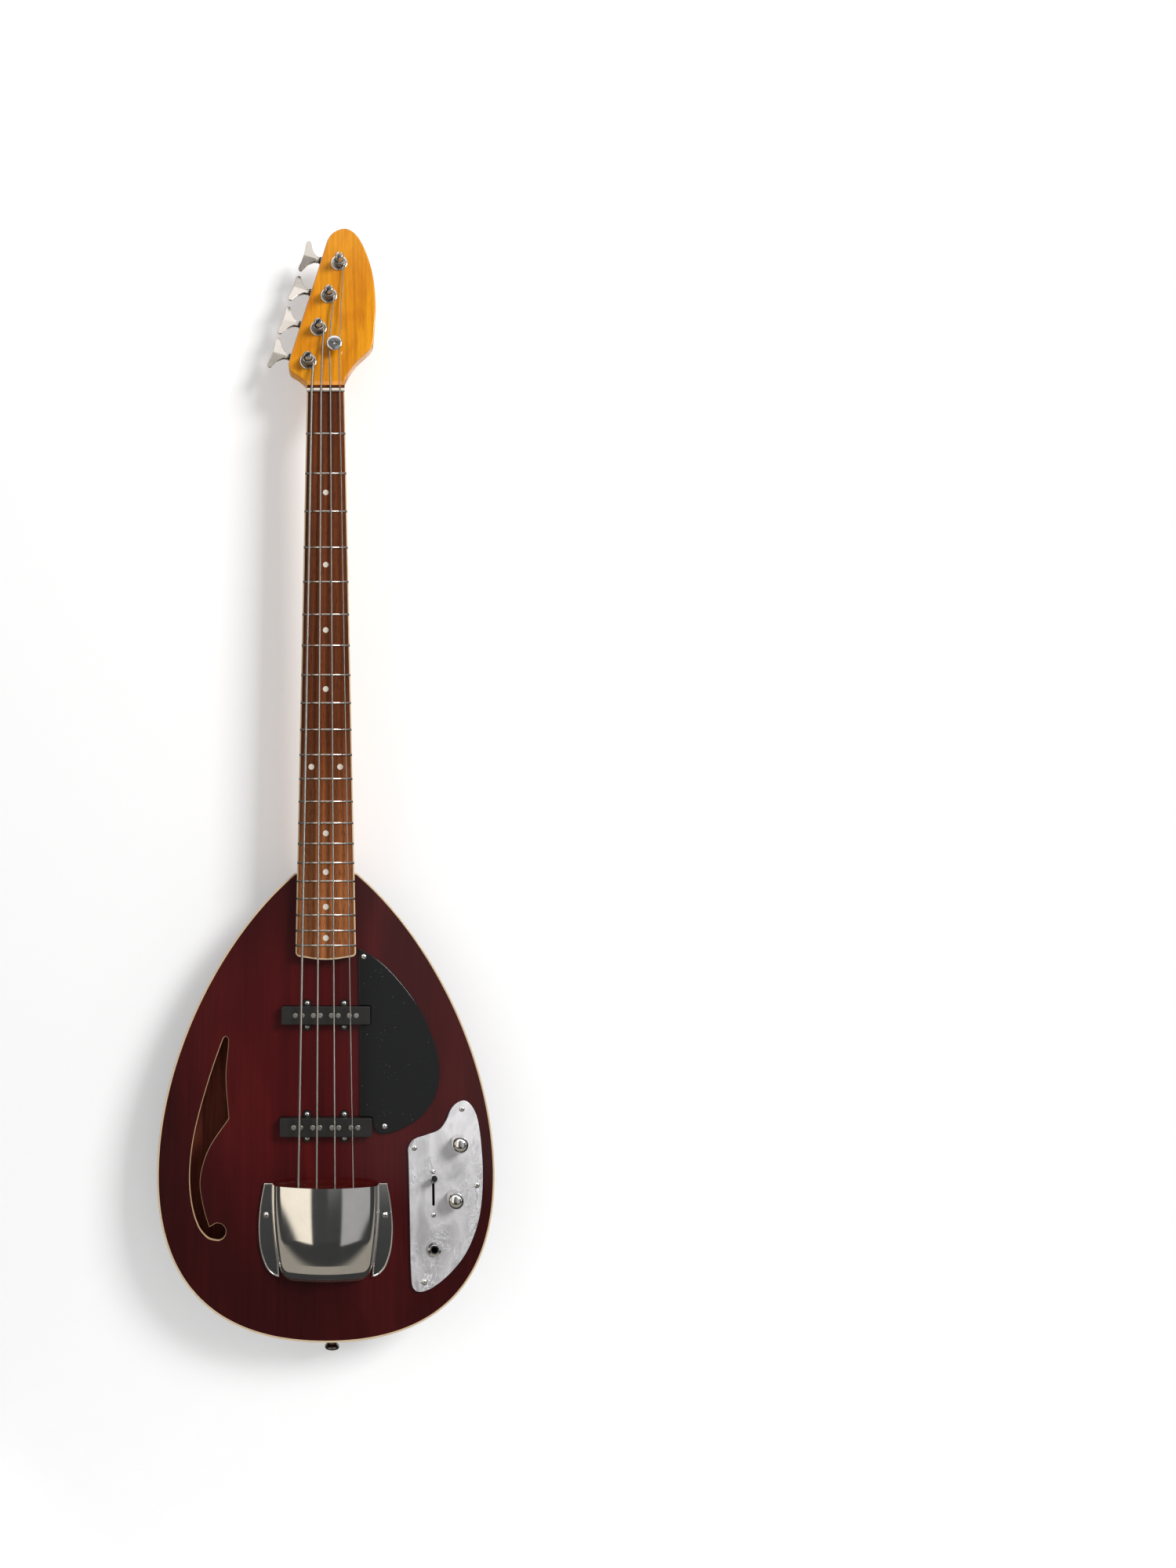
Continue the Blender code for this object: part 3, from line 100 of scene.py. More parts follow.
STRING_UNDERSIDES = (-1.5, -5.7)           # at the nut and at the saddles
STRING_STEPS = (10.35, 18.7)               # between strings, at the nut and at the saddles

# Neck and headstock
NECK_TOP_Y = BOARD_THICKNESS + GAP
HEEL_BACK_Y = 26.0
HEEL_END_Z = -608.0
HEAD_FACE_Y = 11.0
HEAD_BACK_Y = 25.5
BLANK_START_Z = 13.0           # the headstock is a plain blank above this height
HEAD_EDGE_ROUND = 1.6
SLIVER = 0.0000015             # in metres; points nearer than this are one

# Body
BODY_FACE_Y = 10.0
BODY_BACK_Y = 55.0
BACK_ROUND = 3.0
BODY_HALF_WIDTH = 173.7
WIDEST_Z = -837.0
BODY_BOTTOM_Z = -1004.8
SHOULDER_X = 33.0
SHOULDER_Z = -531.5
SHOULDER_HANDLE = (77.2, -65.1)            # handles of the curves of the body's outline
WIDEST_HANDLE_UP = 115.0
WIDEST_HANDLE_DOWN = 105.0
BOTTOM_HANDLE = 119.3
POCKET_HALF = 30.6
TOP_THICKNESS = 3.7
BODY_BINDING_WIDTH = 2.0
BODY_BINDING_DEPTH = 6.0
RIM_THICKNESS = 13.0
BLOCK_HALF = 65.0
CHAMBER_FLOOR_Y = 48.0

# Tuners
POSTS = [AXIS["post_%d_turn" % n] for n in range(1, 5)]
EDGE_ANGLE = math.atan2(POSTS[1].x - POSTS[0].x, POSTS[1].z - POSTS[0].z)
WORM_OFFSET = 9.5              # from the post's axis to the key's axis
WORM_HEIGHT = 6.3              # of the key's axis above the back of the headstock
KEY_TWISTS = (0.09, 0.16, 0.26, 0.0)       # how far each key is turned, in radians
POST_WAIST_RADIUS = 4.1
BUSHING_FACE_Y = 9.5
RETAINER_PLACE = (9.6, 58.5)

# Hardware on the face
PLATE_FRONT_Y = 7.4            # pickguard and control plate
PLATE_BACK_Y = BODY_FACE_Y - GAP
PICKUP_PLACES = {"neck": -679.3, "bridge": -792.2}
PICKUP_LENGTHS = {"neck": 92.2, "bridge": 94.9}
PICKUP_WIDTH = 18.6
PICKUP_FACE_Y = 1.0
EAR_RADIUS = 4.0
EAR_PLACE = (19.3, 11.9)       # from the middle of the pickup, across and along
POLE_OFFSET = 3.6              # of each pole of a pair from the string
POLE_PAIR_STEPS = {"neck": 18.7, "bridge": 19.6}
JACK_AXIS = (110.5, -913.1)
COVER_TOP_Z = -848.5
COVER_SHOULDER_Z = -905.0      # where the cover starts to round down to its tail
COVER_TAIL_Z = -944.5
COVER_HEIGHT = 24.0
COVER_BASE_Y = BODY_FACE_Y - 2 * GAP
COVER_SCREW = (60.9, -879.6)
BRIDGE_WALL_Z = -902.0

# Back plate and strap buttons
NECK_PLATE_Z = -564.0
NECK_PLATE_HALF = (25.5, 32.0)
NECK_SCREW_HALF = (19.2, 25.5)
STRAP_BUTTONS = {"strap_button_neck": ((0.0, 41.0, SHOULDER_Z), 0.0),
                 "strap_button_end": ((6.5, 33.0, BODY_BOTTOM_Z), math.pi)}

# Stage
WALL_Y = 0.064
FLOOR_Z = -1.27
WHITE = (1.0, 1.0, 1.0, 1.0)
CREAM_LIGHT = (1.0, 0.90, 0.74)
GREY_LIGHT = (1.0, 0.98, 0.97)
# Soft lights: name, place, size, power, and whether the gloss mirrors them
LAMPS = (
    ("key", (2.3, -2.2, 1.1), 1.2, 98.0, True),
    ("fill", (-2.4, -1.9, 0.2), 1.8, 10.0, False),
    ("back", (0.8, 2.4, 0.6), 2.2, 215.0, False),
)
# Soft windows of the mirrored room: in front or behind, two corners, softness, strength and tint.
# A corner is given as the slopes to the side and up, seen from the instrument.
ROOM_WINDOWS = (
    (True, (0.07, -0.30), (0.26, 0.60), 0.07, 0.20, GREY_LIGHT),
    (True, (-0.95, -0.46), (-0.27, 1.1), 0.05, 1.05, CREAM_LIGHT),
    (True, (0.30, -0.50), (0.85, 1.0), 0.05, 0.36, GREY_LIGHT),
    (True, (-3.00, -2.5), (3.00, -0.80), 0.12, 0.30, CREAM_LIGHT),
    (True, (-2.60, -0.20), (-1.70, 1.2), 0.20, 1.2, GREY_LIGHT),
    (True, (1.90, -0.20), (2.80, 1.2), 0.20, 1.0, GREY_LIGHT),
    (True, (-1.30, 1.15), (1.30, 3.0), 0.36, 1.3, GREY_LIGHT),
    (False, (-0.60, -0.06), (0.10, 1.00), 0.25, 0.26, CREAM_LIGHT),
    (False, (-0.42, -0.42), (-0.06, -0.14), 0.09, 0.26, GREY_LIGHT),
    (False, (0.5, 0.0), (1.3, 1.2), 0.12, 1.2, GREY_LIGHT),
    (False, (0.55, -0.70), (1.6, -0.15), 0.15, 0.30, GREY_LIGHT),
    (False, (-1.8, 0.0), (-1.0, 1.3), 0.12, 1.2, CREAM_LIGHT),
)


class BassFinishes(bpy.types.PropertyGroup):
    """Colours of the instrument's finishes."""

    cherry: FloatVectorProperty(name="Cherry lacquer", description="Stain of the body", subtype="COLOR",
                                size=3, default=(0.070, 0.0036, 0.0046))
    amber: FloatVectorProperty(name="Amber lacquer", description="Tint of the neck and headstock",
                               subtype="COLOR", size=3, default=(0.87, 0.330, 0.006))
    rosewood: FloatVectorProperty(name="Rosewood", description="Colour of the fingerboard", subtype="COLOR",
                                  size=3, default=(0.120, 0.029, 0.006))
    cream: FloatVectorProperty(name="Cream plastic", description="Colour of the binding", subtype="COLOR",
                               size=3, default=(0.74, 0.56, 0.36))
    bone: FloatVectorProperty(name="Bone", description="Colour of the nut and the fret markers",
                              subtype="COLOR", size=3, default=(0.82, 0.75, 0.64))
    pearl: FloatVectorProperty(name="Pearl plastic", description="Colour of the control plate",
                               subtype="COLOR", size=3, default=(0.60, 0.59, 0.60))
    chrome: FloatVectorProperty(name="Chrome", description="Colour of the plated parts", subtype="COLOR",
                                size=3, default=(0.80, 0.80, 0.79))
    nickel: FloatVectorProperty(name="Nickel", description="Colour of the keys, frets and strings",
                                subtype="COLOR", size=3, default=(0.66, 0.62, 0.57))


class BassSizes(bpy.types.PropertyGroup):
    """Sizes of the strings, the frets and the fine edges."""

    scale_length: FloatProperty(name="Scale length", description="From the nut to the saddles",
                                default=0.864, unit="LENGTH")
    nut_width: FloatProperty(name="Nut width", description="Width of the fingerboard at the nut",
                             default=0.042, unit="LENGTH")
    end_width: FloatProperty(name="End width", description="Width of the fingerboard at its end",
                             default=0.0634, unit="LENGTH")
    fret_count: IntProperty(name="Frets", description="Number of frets", default=21, min=1)
    fret_width: FloatProperty(name="Fret width", description="Width of a fret's crown",
                              default=0.0024, unit="LENGTH")
    fret_height: FloatProperty(name="Fret height", description="Height of a fret over the board",
                               default=0.0011, unit="LENGTH")
    marker_width: FloatProperty(name="Marker width", description="Diameter of a fret marker",
                                default=0.0062, unit="LENGTH")
    edge_round: FloatProperty(name="Edge rounding", description="Width of the small bevels on plain parts",
                              default=0.0004, unit="LENGTH")


def add(tree, kind, inputs=None, **settings):
    """Add a node with its settings, and link or set its inputs."""
    node = tree.nodes.new(kind)
    for name, value in settings.items():
        setattr(node, name, value)
    for key, value in (inputs or {}).items():
        if isinstance(value, bpy.types.NodeSocket):
            tree.links.new(value, node.inputs[key])
        else:
            node.inputs[key].default_value = value
    return node


def maths(tree, operation, one, two=0.0):
    """Return the result of one sum."""
    return add(tree, "ShaderNodeMath", {0: one, 1: two}, operation=operation).outputs[0]


def new_material(name, **sockets):
    """Start a material, and return it with its tree and its shader."""
    material = bpy.data.materials.new(name)
    material.use_nodes = True
    shader = material.node_tree.nodes["Principled BSDF"]
    for socket, value in sockets.items():
        shader.inputs[socket.replace("_", " ")].default_value = value
    return material, material.node_tree, shader


def placed(tree, scale=(1, 1, 1), turn=(0, 0, 0), move=(0, 0, 0)):
    """Return the object's own coordinates, turned and scaled."""
    coordinates = add(tree, "ShaderNodeTexCoord").outputs["Object"]
    return add(tree, "ShaderNodeMapping", {"Vector": coordinates, "Scale": scale, "Rotation": turn,
                                           "Location": move}).outputs[0]


def noise(tree, vector, detail=4.0, roughness=0.55, distortion=0.0):
    """Return the strength of a noise on coordinates, or on the piece scaled by three numbers."""
    if isinstance(vector, tuple):
        vector = placed(tree, vector)
    return add(tree, "ShaderNodeTexNoise", {"Vector": vector, "Scale": 1.0, "Detail": detail,
                                            "Roughness": roughness, "Distortion": distortion}).outputs["Fac"]


def between_heights(tree, start, end):
    """Return a share that goes from 0 at one height to 1 at another."""
    height = add(tree, "ShaderNodeSeparateXYZ", {0: placed(tree)}).outputs["Z"]
    return add(tree, "ShaderNodeMapRange", {"Value": height, "From Min": start, "From Max": end}).outputs[0]


def ramp(tree, source, *stops):
    """Return the colour of a ramp through (position, colour) stops; a colour may be one grey."""
    node = add(tree, "ShaderNodeValToRGB", {"Fac": source})
    elements = node.color_ramp.elements
    while len(elements) < len(stops):
        elements.new(0.5)
    for element, (position, colour) in zip(elements, stops):
        element.position = position
        element.color = (*colour, 1.0) if hasattr(colour, "__len__") else (colour, colour, colour, 1.0)
    return node.outputs["Color"]


def mixed(tree, kind, factor, one, two):
    """Return two colours mixed; each may be a colour or a socket."""
    inputs = {0: factor, 6: one, 7: two}
    for key in (6, 7):
        if not isinstance(inputs[key], bpy.types.NodeSocket):
            inputs[key] = (*inputs[key], 1.0)
    return add(tree, "ShaderNodeMix", inputs, data_type="RGBA", blend_type=kind).outputs[2]


def times(tree, one, two, factor=1.0):
    """Return one colour multiplied by another."""
    return mixed(tree, "MULTIPLY", factor, one, two)


def bump(tree, shader, height, strength, distance, socket="Normal"):
    """Send a height to the shader's normal."""
    node = add(tree, "ShaderNodeBump", {"Height": height, "Strength": strength, "Distance": distance})
    tree.links.new(node.outputs["Normal"], shader.inputs[socket])


def shade(colour, factor):
    """Return a colour made lighter or darker."""
    return tuple(min(1.0, c * factor) for c in colour)


def cherry_lacquer(finishes):
    """Red stain over straight-grained wood under thick gloss, darker towards the edge."""
    stain = finishes.cherry
    material, tree, shader = new_material("cherry_lacquer", Roughness=0.5, Specular_IOR_Level=0.05,
                                          Coat_Weight=1.0, Coat_Roughness=0.03, Coat_IOR=1.48)
    grain = noise(tree, (260.0, 90.0, 7.0), 6.0, 0.62, 0.5)
    cloud = noise(tree, (13.0, 9.0, 5.0), 2.5, 0.5, 0.6)
    body_middle = placed(tree, (1 / 0.19, 0.0, 1 / 0.26), move=(0.0, 0.0, 0.74 / 0.26))
    reach = add(tree, "ShaderNodeVectorMath", {0: body_middle}, operation="LENGTH").outputs["Value"]
    fine = ramp(tree, grain, (0.30, shade(stain, 0.80)), (0.52, stain), (0.78, shade(stain, 1.22)))
    soft = ramp(tree, cloud, (0.30, (0.70, 0.80, 0.80)), (0.52, 1.0), (0.72, (1.5, 1.8, 1.5)))
    edge = ramp(tree, reach, (0.30, (1.16, 1.0, 1.0)), (0.85, (0.62, 0.9, 0.85)))
    colour = times(tree, times(tree, fine, soft), edge)
    tree.links.new(colour, shader.inputs["Base Color"])
    ripple = noise(tree, (9.0, 9.0, 9.0), 1.0)
    bump(tree, shader, ripple, 0.10, 0.0016, "Coat Normal")
    return material


def maple_lacquer(finishes):
    """Maple under amber gloss, with long wavy grain, paler at the heel."""
    tint = finishes.amber
    material, tree, shader = new_material("maple_lacquer", Roughness=0.45, Specular_IOR_Level=0.05,
                                          Coat_Weight=1.0, Coat_Roughness=0.045, Coat_IOR=1.48)
    sway = noise(tree, (16.0, 16.0, 6.0), 2.0)
    drift = add(tree, "ShaderNodeCombineXYZ", {0: maths(tree, "MULTIPLY", sway, 0.011)}).outputs[0]
    shifted = add(tree, "ShaderNodeVectorMath", {0: placed(tree), 1: drift}, operation="ADD").outputs[0]
    lines = add(tree, "ShaderNodeMapping", {"Vector": shifted, "Scale": (420.0, 240.0, 5.0)}).outputs[0]
    grain = noise(tree, lines, 4.0, 0.6, 0.25)
    patch = noise(tree, (34.0, 34.0, 11.0), 3.0, 0.55, 0.8)
    flake = noise(tree, (1500.0, 1500.0, 120.0), 2.0)
    fine = ramp(tree, grain, (0.30, shade(tint, 0.74)), (0.47, tint), (0.80, shade(tint, 1.14)))
    broad = ramp(tree, patch, (0.30, (0.82, 0.68, 0.50)), (0.50, 1.0), (0.74, (1.08, 1.12, 1.15)))
    speck = ramp(tree, flake, (0.38, (0.92, 0.90, 0.86)), (0.55, 1.0))
    heel = between_heights(tree, -0.46, -0.53)
    warm = times(tree, times(tree, fine, broad), speck)
    pale = times(tree, (1.12, 1.22, 2.4), warm)
    tree.links.new(mixed(tree, "MIX", heel, warm, pale), shader.inputs["Base Color"])
    return material


def rosewood(finishes):
    """Oiled rosewood: long bands of light and dark with open pores, lighter and warmer towards its end."""
    wood = finishes.rosewood
    material, tree, shader = new_material("rosewood", Roughness=0.42, Specular_IOR_Level=0.18)
    band = noise(tree, (95.0, 40.0, 1.6), 3.0, 0.5, 0.5)
    vein = noise(tree, (520.0, 300.0, 9.0), 5.0, 0.65, 0.4)
    pores = noise(tree, (2300.0, 900.0, 95.0), 2.0)
    broad = ramp(tree, band, (0.30, shade(wood, 0.55)), (0.50, wood), (0.68, shade(wood, 1.75)))
    streak = ramp(tree, vein, (0.30, (0.52, 0.48, 0.46)), (0.50, 1.0), (0.75, (1.22, 1.16, 1.1)))
    pore = ramp(tree, pores, (0.36, (0.40, 0.34, 0.32)), (0.47, 1.0))
    colour = times(tree, times(tree, broad, streak), pore)
    # Lighter and warmer towards the end of the board by the body.
    end = between_heights(tree, -0.38, -0.56)
    varied = times(tree, (2.3, 3.2, 4.6), colour)
    tree.links.new(mixed(tree, "MIX", end, colour, varied), shader.inputs["Base Color"])
    tree.links.new(ramp(tree, vein, (0.3, 0.50), (0.7, 0.36)), shader.inputs["Roughness"])
    bump(tree, shader, pores, 0.25, 0.00012)
    return material


def raw_wood(name, colour, dark):
    """Unfinished wood inside the body and on the cut edge of the sound hole."""
    material, tree, shader = new_material(name, Roughness=0.8, Specular_IOR_Level=0.2)
    grain = noise(tree, (300.0, 300.0, 14.0), 5.0, 0.6, 0.5)
    tree.links.new(ramp(tree, grain, (0.3, shade(colour, dark)), (0.7, colour)), shader.inputs["Base Color"])
    bump(tree, shader, grain, 0.3, 0.0003)
    return material


def moulded(name, colour, roughness, coat=0.0):
    """Moulded plastic or bone with faint clouding."""
    material, tree, shader = new_material(name, Coat_Weight=coat, Coat_Roughness=0.05)
    cloud = noise(tree, (70.0, 70.0, 70.0), 4.0)
    tint = ramp(tree, cloud, (0.3, shade(colour, 1.0 - 0.05)), (0.7, shade(colour, 1.0 + 0.05)))
    tree.links.new(tint, shader.inputs["Base Color"])
    varied = ramp(tree, cloud, (0.3, roughness * 0.85), (0.75, roughness * 1.2))
    tree.links.new(varied, shader.inputs["Roughness"])
    return material


def black_gloss():
    """Polished black plastic with a little dust and fine scratches."""
    material, tree, shader = new_material("black_plastic", Specular_IOR_Level=0.5, Coat_Weight=0.3,
                                          Coat_Roughness=0.03)
    dust = noise(tree, (520.0, 520.0, 520.0), 1.0)
    haze = noise(tree, (24.0, 24.0, 24.0), 4.0)
    specks = ramp(tree, dust, (0.755, (0.006, 0.0065, 0.0075)), (0.775, (0.16, 0.16, 0.15)))
    tree.links.new(specks, shader.inputs["Base Color"])
    tree.links.new(ramp(tree, haze, (0.35, 0.05), (0.75, 0.13)), shader.inputs["Roughness"])
    return material


def matte_black():
    """Satin black plastic with a fine moulded texture."""
    material, tree, shader = new_material("matte_black_plastic", Roughness=0.42, Specular_IOR_Level=0.45)
    pebble = noise(tree, (1400.0, 1400.0, 1400.0), 2.0)
    cloud = noise(tree, (60.0, 60.0, 60.0), 3.0)
    tree.links.new(ramp(tree, cloud, (0.3, (0.014, 0.014, 0.013)), (0.7, (0.021, 0.020, 0.018))),
                   shader.inputs["Base Color"])
    bump(tree, shader, pebble, 0.12, 0.0001)
    return material


def pearl_plastic(finishes):
    """White pearl: grey clouds crossed by crisp feathers of light and shade, with a painted highlight towards the
    top and painted shade towards the bottom.
    """
    tone = finishes.pearl
    material, tree, shader = new_material("pearl_plastic", Roughness=0.28, Specular_IOR_Level=0.5,
                                          Coat_Weight=0.8, Coat_Roughness=0.04)
    place = placed(tree, (34.0, 34.0, 20.0), (0.0, 0.6, 0.0))
    cloud = noise(tree, place, 3.0, 0.5, 1.2)
    feather = noise(tree, placed(tree, (62.0, 62.0, 21.0), (0.0, -0.7, 0.0)), 2.0, 0.45, 2.6)
    barbs = noise(tree, placed(tree, (48.0, 48.0, 120.0), (0.0, 0.35, 0.0), (3.0, 0.0, 1.0)), 3.0, 0.5, 1.8)
    where = noise(tree, placed(tree, (26.0, 26.0, 18.0), move=(7.0, 0.0, 2.0)), 1.0)
    clouds = ramp(tree, cloud, (0.28, shade(tone, 0.74)), (0.45, tone), (0.60, shade(tone, 1.26)),
                  (0.72, shade(tone, 0.86)))
    # Painted highlight and painted shade: the plate is drawn lighter towards its top and darker towards its
    # bottom.
    rise = between_heights(tree, -0.955, -0.77)
    base = times(tree, clouds, ramp(tree, rise, (0.0, (0.78, 0.77, 0.77)), (0.55, 0.92), (1.0, 1.28)))
    bright = ramp(tree, feather, (0.455, 0.0), (0.485, 1.0), (0.50, 0.12), (0.56, 0.0))
    light_barbs = ramp(tree, barbs, (0.55, 0.0), (0.60, 0.7), (0.62, 0.0))
    dim = ramp(tree, feather, (0.49, 0.0), (0.515, 0.75), (0.56, 0.0))
    cluster = ramp(tree, where, (0.42, 0.0), (0.58, 1.0))
    lit = mixed(tree, "MIX", times(tree, bright, cluster), base, (0.93, 0.93, 0.95))
    barbed = mixed(tree, "MIX", times(tree, light_barbs, cluster, 0.8), lit, (0.90, 0.90, 0.93))
    shaded = mixed(tree, "MIX", times(tree, dim, cluster), barbed, shade(tone, 0.50))
    tree.links.new(shaded, shader.inputs["Base Color"])
    bump(tree, shader, feather, 0.35, 0.0006)
    return material


def plated(name, colour, roughness, smear=0.03, metal=1.0):
    """Plated or bare metal with faint smears and hairline scratches."""
    material, tree, shader = new_material(name, Metallic=metal)
    cloud = noise(tree, (45.0, 45.0, 45.0), 5.0, 0.6)
    hair = noise(tree, placed(tree, (900.0, 900.0, 60.0), (0.0, 0.5, 0.0)), 2.0)
    tint = ramp(tree, cloud, (0.3, shade(colour, 1.0 - smear * 2)), (0.7, shade(colour, 1.0 + smear)))
    tree.links.new(tint, shader.inputs["Base Color"])
    marks = maths(tree, "MULTIPLY", maths(tree, "ADD", hair, cloud), roughness * 0.45)
    tree.links.new(maths(tree, "ADD", marks, roughness * 0.6), shader.inputs["Roughness"])
    return material


def wound_wire(index, colour):
    """A string's nickel wrap, with ridges read from the length along the string and painted shade in the grooves
    between them.
    """
    material, tree, shader = new_material("string_wrap_" + STRING_NAMES[index], Metallic=1.0, Roughness=0.36)
    along = add(tree, "ShaderNodeAttribute", attribute_name="along").outputs["Fac"]
    turns = maths(tree, "MULTIPLY", along, 2 * math.pi / (WRAP_PITCHES[index] * MM))
    ridge = maths(tree, "SINE", turns)
    cloud = noise(tree, (120.0, 120.0, 9.0), 4.0)
    tint = ramp(tree, cloud, (0.3, shade(colour, 0.78)), (0.7, shade(colour, 1.05)))
    # Painted shade: the colour darkens in the grooves between the turns of the wrap.
    groove_shade = ramp(tree, maths(tree, "MULTIPLY_ADD", ridge, 0.5), (0.0, 0.55), (0.5, 1.0))
    tree.links.new(times(tree, tint, groove_shade), shader.inputs["Base Color"])
    bump(tree, shader, ridge, 0.5, 0.00006)
    return material


def make_finishes():
    """Make every finish once, named for the record's slots."""
    finishes = bpy.context.scene.bass_finishes
    made = {
        "cherry_lacquer": cherry_lacquer(finishes),
        "maple_lacquer": maple_lacquer(finishes),
        "rosewood": rosewood(finishes),
        "pearl_plastic": pearl_plastic(finishes),
        "cream_plastic": moulded("cream_plastic", finishes.cream, 0.3, 0.4),
        "bone_plastic": moulded("bone_plastic", finishes.bone, 0.35),
        "black_plastic": black_gloss(),
        "matte_black_plastic": matte_black(),
        "chrome": plated("chrome", finishes.chrome, 0.07),
        "nickel": plated("nickel", finishes.nickel, 0.26),
        # Satin metal for the neck plate and the tuner caps; its pale bluish white, mostly diffuse, is partly a
        # painted reflection of bright surroundings.
        "satin_plate_and_painted_reflection": plated("satin_plate_and_painted_reflection", (0.84, 0.88, 0.93), 0.42, 0.02, metal=0.35),
        "steel": plated("steel", (0.5, 0.49, 0.47), 0.35, 0.08),
        "brass": plated("brass", (0.68, 0.48, 0.2), 0.3, 0.08),
        # Dark nickel of the strap buttons; on the walls of slots, cross recesses and screw seats the same dark
        # colour is painted shade.
        "dark_nickel_and_recess_shade": plated("dark_nickel_and_recess_shade", (0.22, 0.205, 0.19), 0.22),
        "bare_wood": raw_wood("bare_wood", (0.34, 0.075, 0.042), 0.5),
        "cut_wood": raw_wood("cut_wood", (0.60, 0.40, 0.23), 0.75),
    }
    for index, name in enumerate(STRING_NAMES):
        made["string_" + name] = wound_wire(index, shade(finishes.nickel, 0.62))
    return made


def at(x, y, z, turn=None):
    """Return a place in millimetres, with an optional turn."""
    return Matrix.Translation((x, y, z)) @ (turn or Matrix())


def new_piece(name, mesh):
    """Link a mesh into the scene."""
    piece = bpy.data.objects.new(name, mesh)
    bpy.context.scene.collection.objects.link(piece)
    return piece


def solid(name, finish, draw, place=None):
    """Draw a closed shape in millimetres, and put it in place in metres."""
    bm = bmesh.new()
    draw(bm)
    bmesh.ops.remove_doubles(bm, verts=bm.verts, dist=0.001)
    bmesh.ops.recalc_face_normals(bm, faces=bm.faces)
    if bm.calc_volume(signed=True) < 0.0:
        bmesh.ops.reverse_faces(bm, faces=bm.faces)
    bm.transform(Matrix.Scale(MM, 4) @ (place or Matrix()))
    mesh = bpy.data.meshes.new(name)
    bm.to_mesh(mesh)
    bm.free()
    mesh.materials.append(FINISH[finish])
    return new_piece(name, mesh)


def loft(name, finish, rings, place=None):
    """Skin rings that have the same number of points, and close both ends."""
    def draw(bm):
        rows = [[bm.verts.new(point) for point in ring] for ring in rings]
        for one, two in zip(rows, rows[1:]):
            for i in range(len(one)):
                j = (i + 1) % len(one)
                bm.faces.new((one[i], one[j], two[j], two[i]))
        bm.faces.new(rows[0])
        bm.faces.new(rows[-1])
    return solid(name, finish, draw, place)


def prism(name, finish, outline, low, high, place=None):
    """Raise a closed outline from one height to another."""
    return loft(name, finish, [[(x, y, height) for x, y in outline] for height in (low, high)], place)


def plate(name, finish, outline, front_y, back_y):
    """Cut a flat piece to an outline drawn in X and Z."""
    return prism(name, finish, outline, -back_y, -front_y, FACE)


def box(name, finish, low, high, place=None):
    """Make a box between two corners."""
    low, high = Vector(low), Vector(high)
    size = Matrix.Translation((low + high) / 2) @ Matrix.Diagonal((*(high - low), 1.0))
    return solid(name, finish, lambda bm: bmesh.ops.create_cube(bm, size=1.0, matrix=size), place)


def turned(name, finish, profile, place=None, steps=48, ring=False):
    """Turn a profile of radius and height about local Z; a ring's profile is closed."""
    def draw(bm):
        points = [bm.verts.new((radius, 0.0, height)) for radius, height in profile]
        following = points[1:] + points[:1] if ring else points[1:]
        edges = [bm.edges.new(pair) for pair in zip(points, following)]
        bmesh.ops.spin(bm, geom=points + edges, axis=(0, 0, 1), cent=(0, 0, 0), steps=steps,
                       angle=2 * math.pi, use_merge=True)
    return solid(name, finish, draw, place)


def rod(name, finish, start, end, radius):
    """Make a round bar between two points."""
    start, end = Vector(start), Vector(end)
    turn = (end - start).to_track_quat("Z", "Y").to_matrix().to_4x4()
    return solid(name, finish, lambda bm: bmesh.ops.create_cone(
        bm, cap_ends=True, segments=32, radius1=radius, radius2=radius, depth=(end - start).length),
        Matrix.Translation((start + end) / 2) @ turn)


def bake(piece):
    """Write a piece's modifiers into its mesh."""
    graph = bpy.context.evaluated_depsgraph_get()
    mesh = bpy.data.meshes.new_from_object(piece.evaluated_get(graph), preserve_all_data_layers=True,
                                           depsgraph=graph)
    piece.modifiers.clear()
    piece.data = mesh
    return piece


def cleaned(piece):
    """Weld points that fell together, and drop the slivers they leave."""
    bm = bmesh.new()
    bm.from_mesh(piece.data)
    bmesh.ops.remove_doubles(bm, verts=bm.verts, dist=SLIVER)
    bmesh.ops.dissolve_degenerate(bm, edges=bm.edges, dist=SLIVER)
    bm.to_mesh(piece.data)
    bm.free()
    return piece


def worked(piece, operation, *tools):
    """Join tools to a piece, or cut them from it; cut faces take the tool's finish."""
    for tool in tools:
        modifier = piece.modifiers.new(tool.name, "BOOLEAN")
        modifier.operation = operation
        modifier.material_mode = "TRANSFER"
        modifier.object = tool
    bake(piece)
    for tool in tools:
        bpy.data.objects.remove(tool, do_unlink=True)
    return cleaned(piece)


def smoothed(piece, edge, angle=35.0, segments=2, clamp=False):
    """Round the edges sharper than an angle, and shade the piece smooth."""
    piece.data.shade_smooth()
    if edge:
        rounding = piece.modifiers.new("edge", "BEVEL")
        rounding.width = edge * MM
        rounding.segments = segments
        rounding.limit_method = "ANGLE"
        rounding.angle_limit = math.radians(angle)
        rounding.use_clamp_overlap = clamp
        cleaned(bake(piece))
    else:
        piece.data.set_sharp_from_angle(angle=math.radians(angle))
    shading = piece.modifiers.new("shading", "WEIGHTED_NORMAL")
    shading.keep_sharp = True
    return bake(piece)


def fitted(piece, node, slot=None):
    """Let a piece ride with a node's body; without a slot of its own it stands for the node."""
    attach(piece, BODY_OF[node])
    if slot is None:
        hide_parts(node)
    slot or NODE_SLOT[node]
    return piece


def finished(piece, node, slot=None, angle=35.0):
    """Shade a piece smooth, and let it ride with a node's body."""
    return fitted(smoothed(piece, 0.0, angle), node, slot)


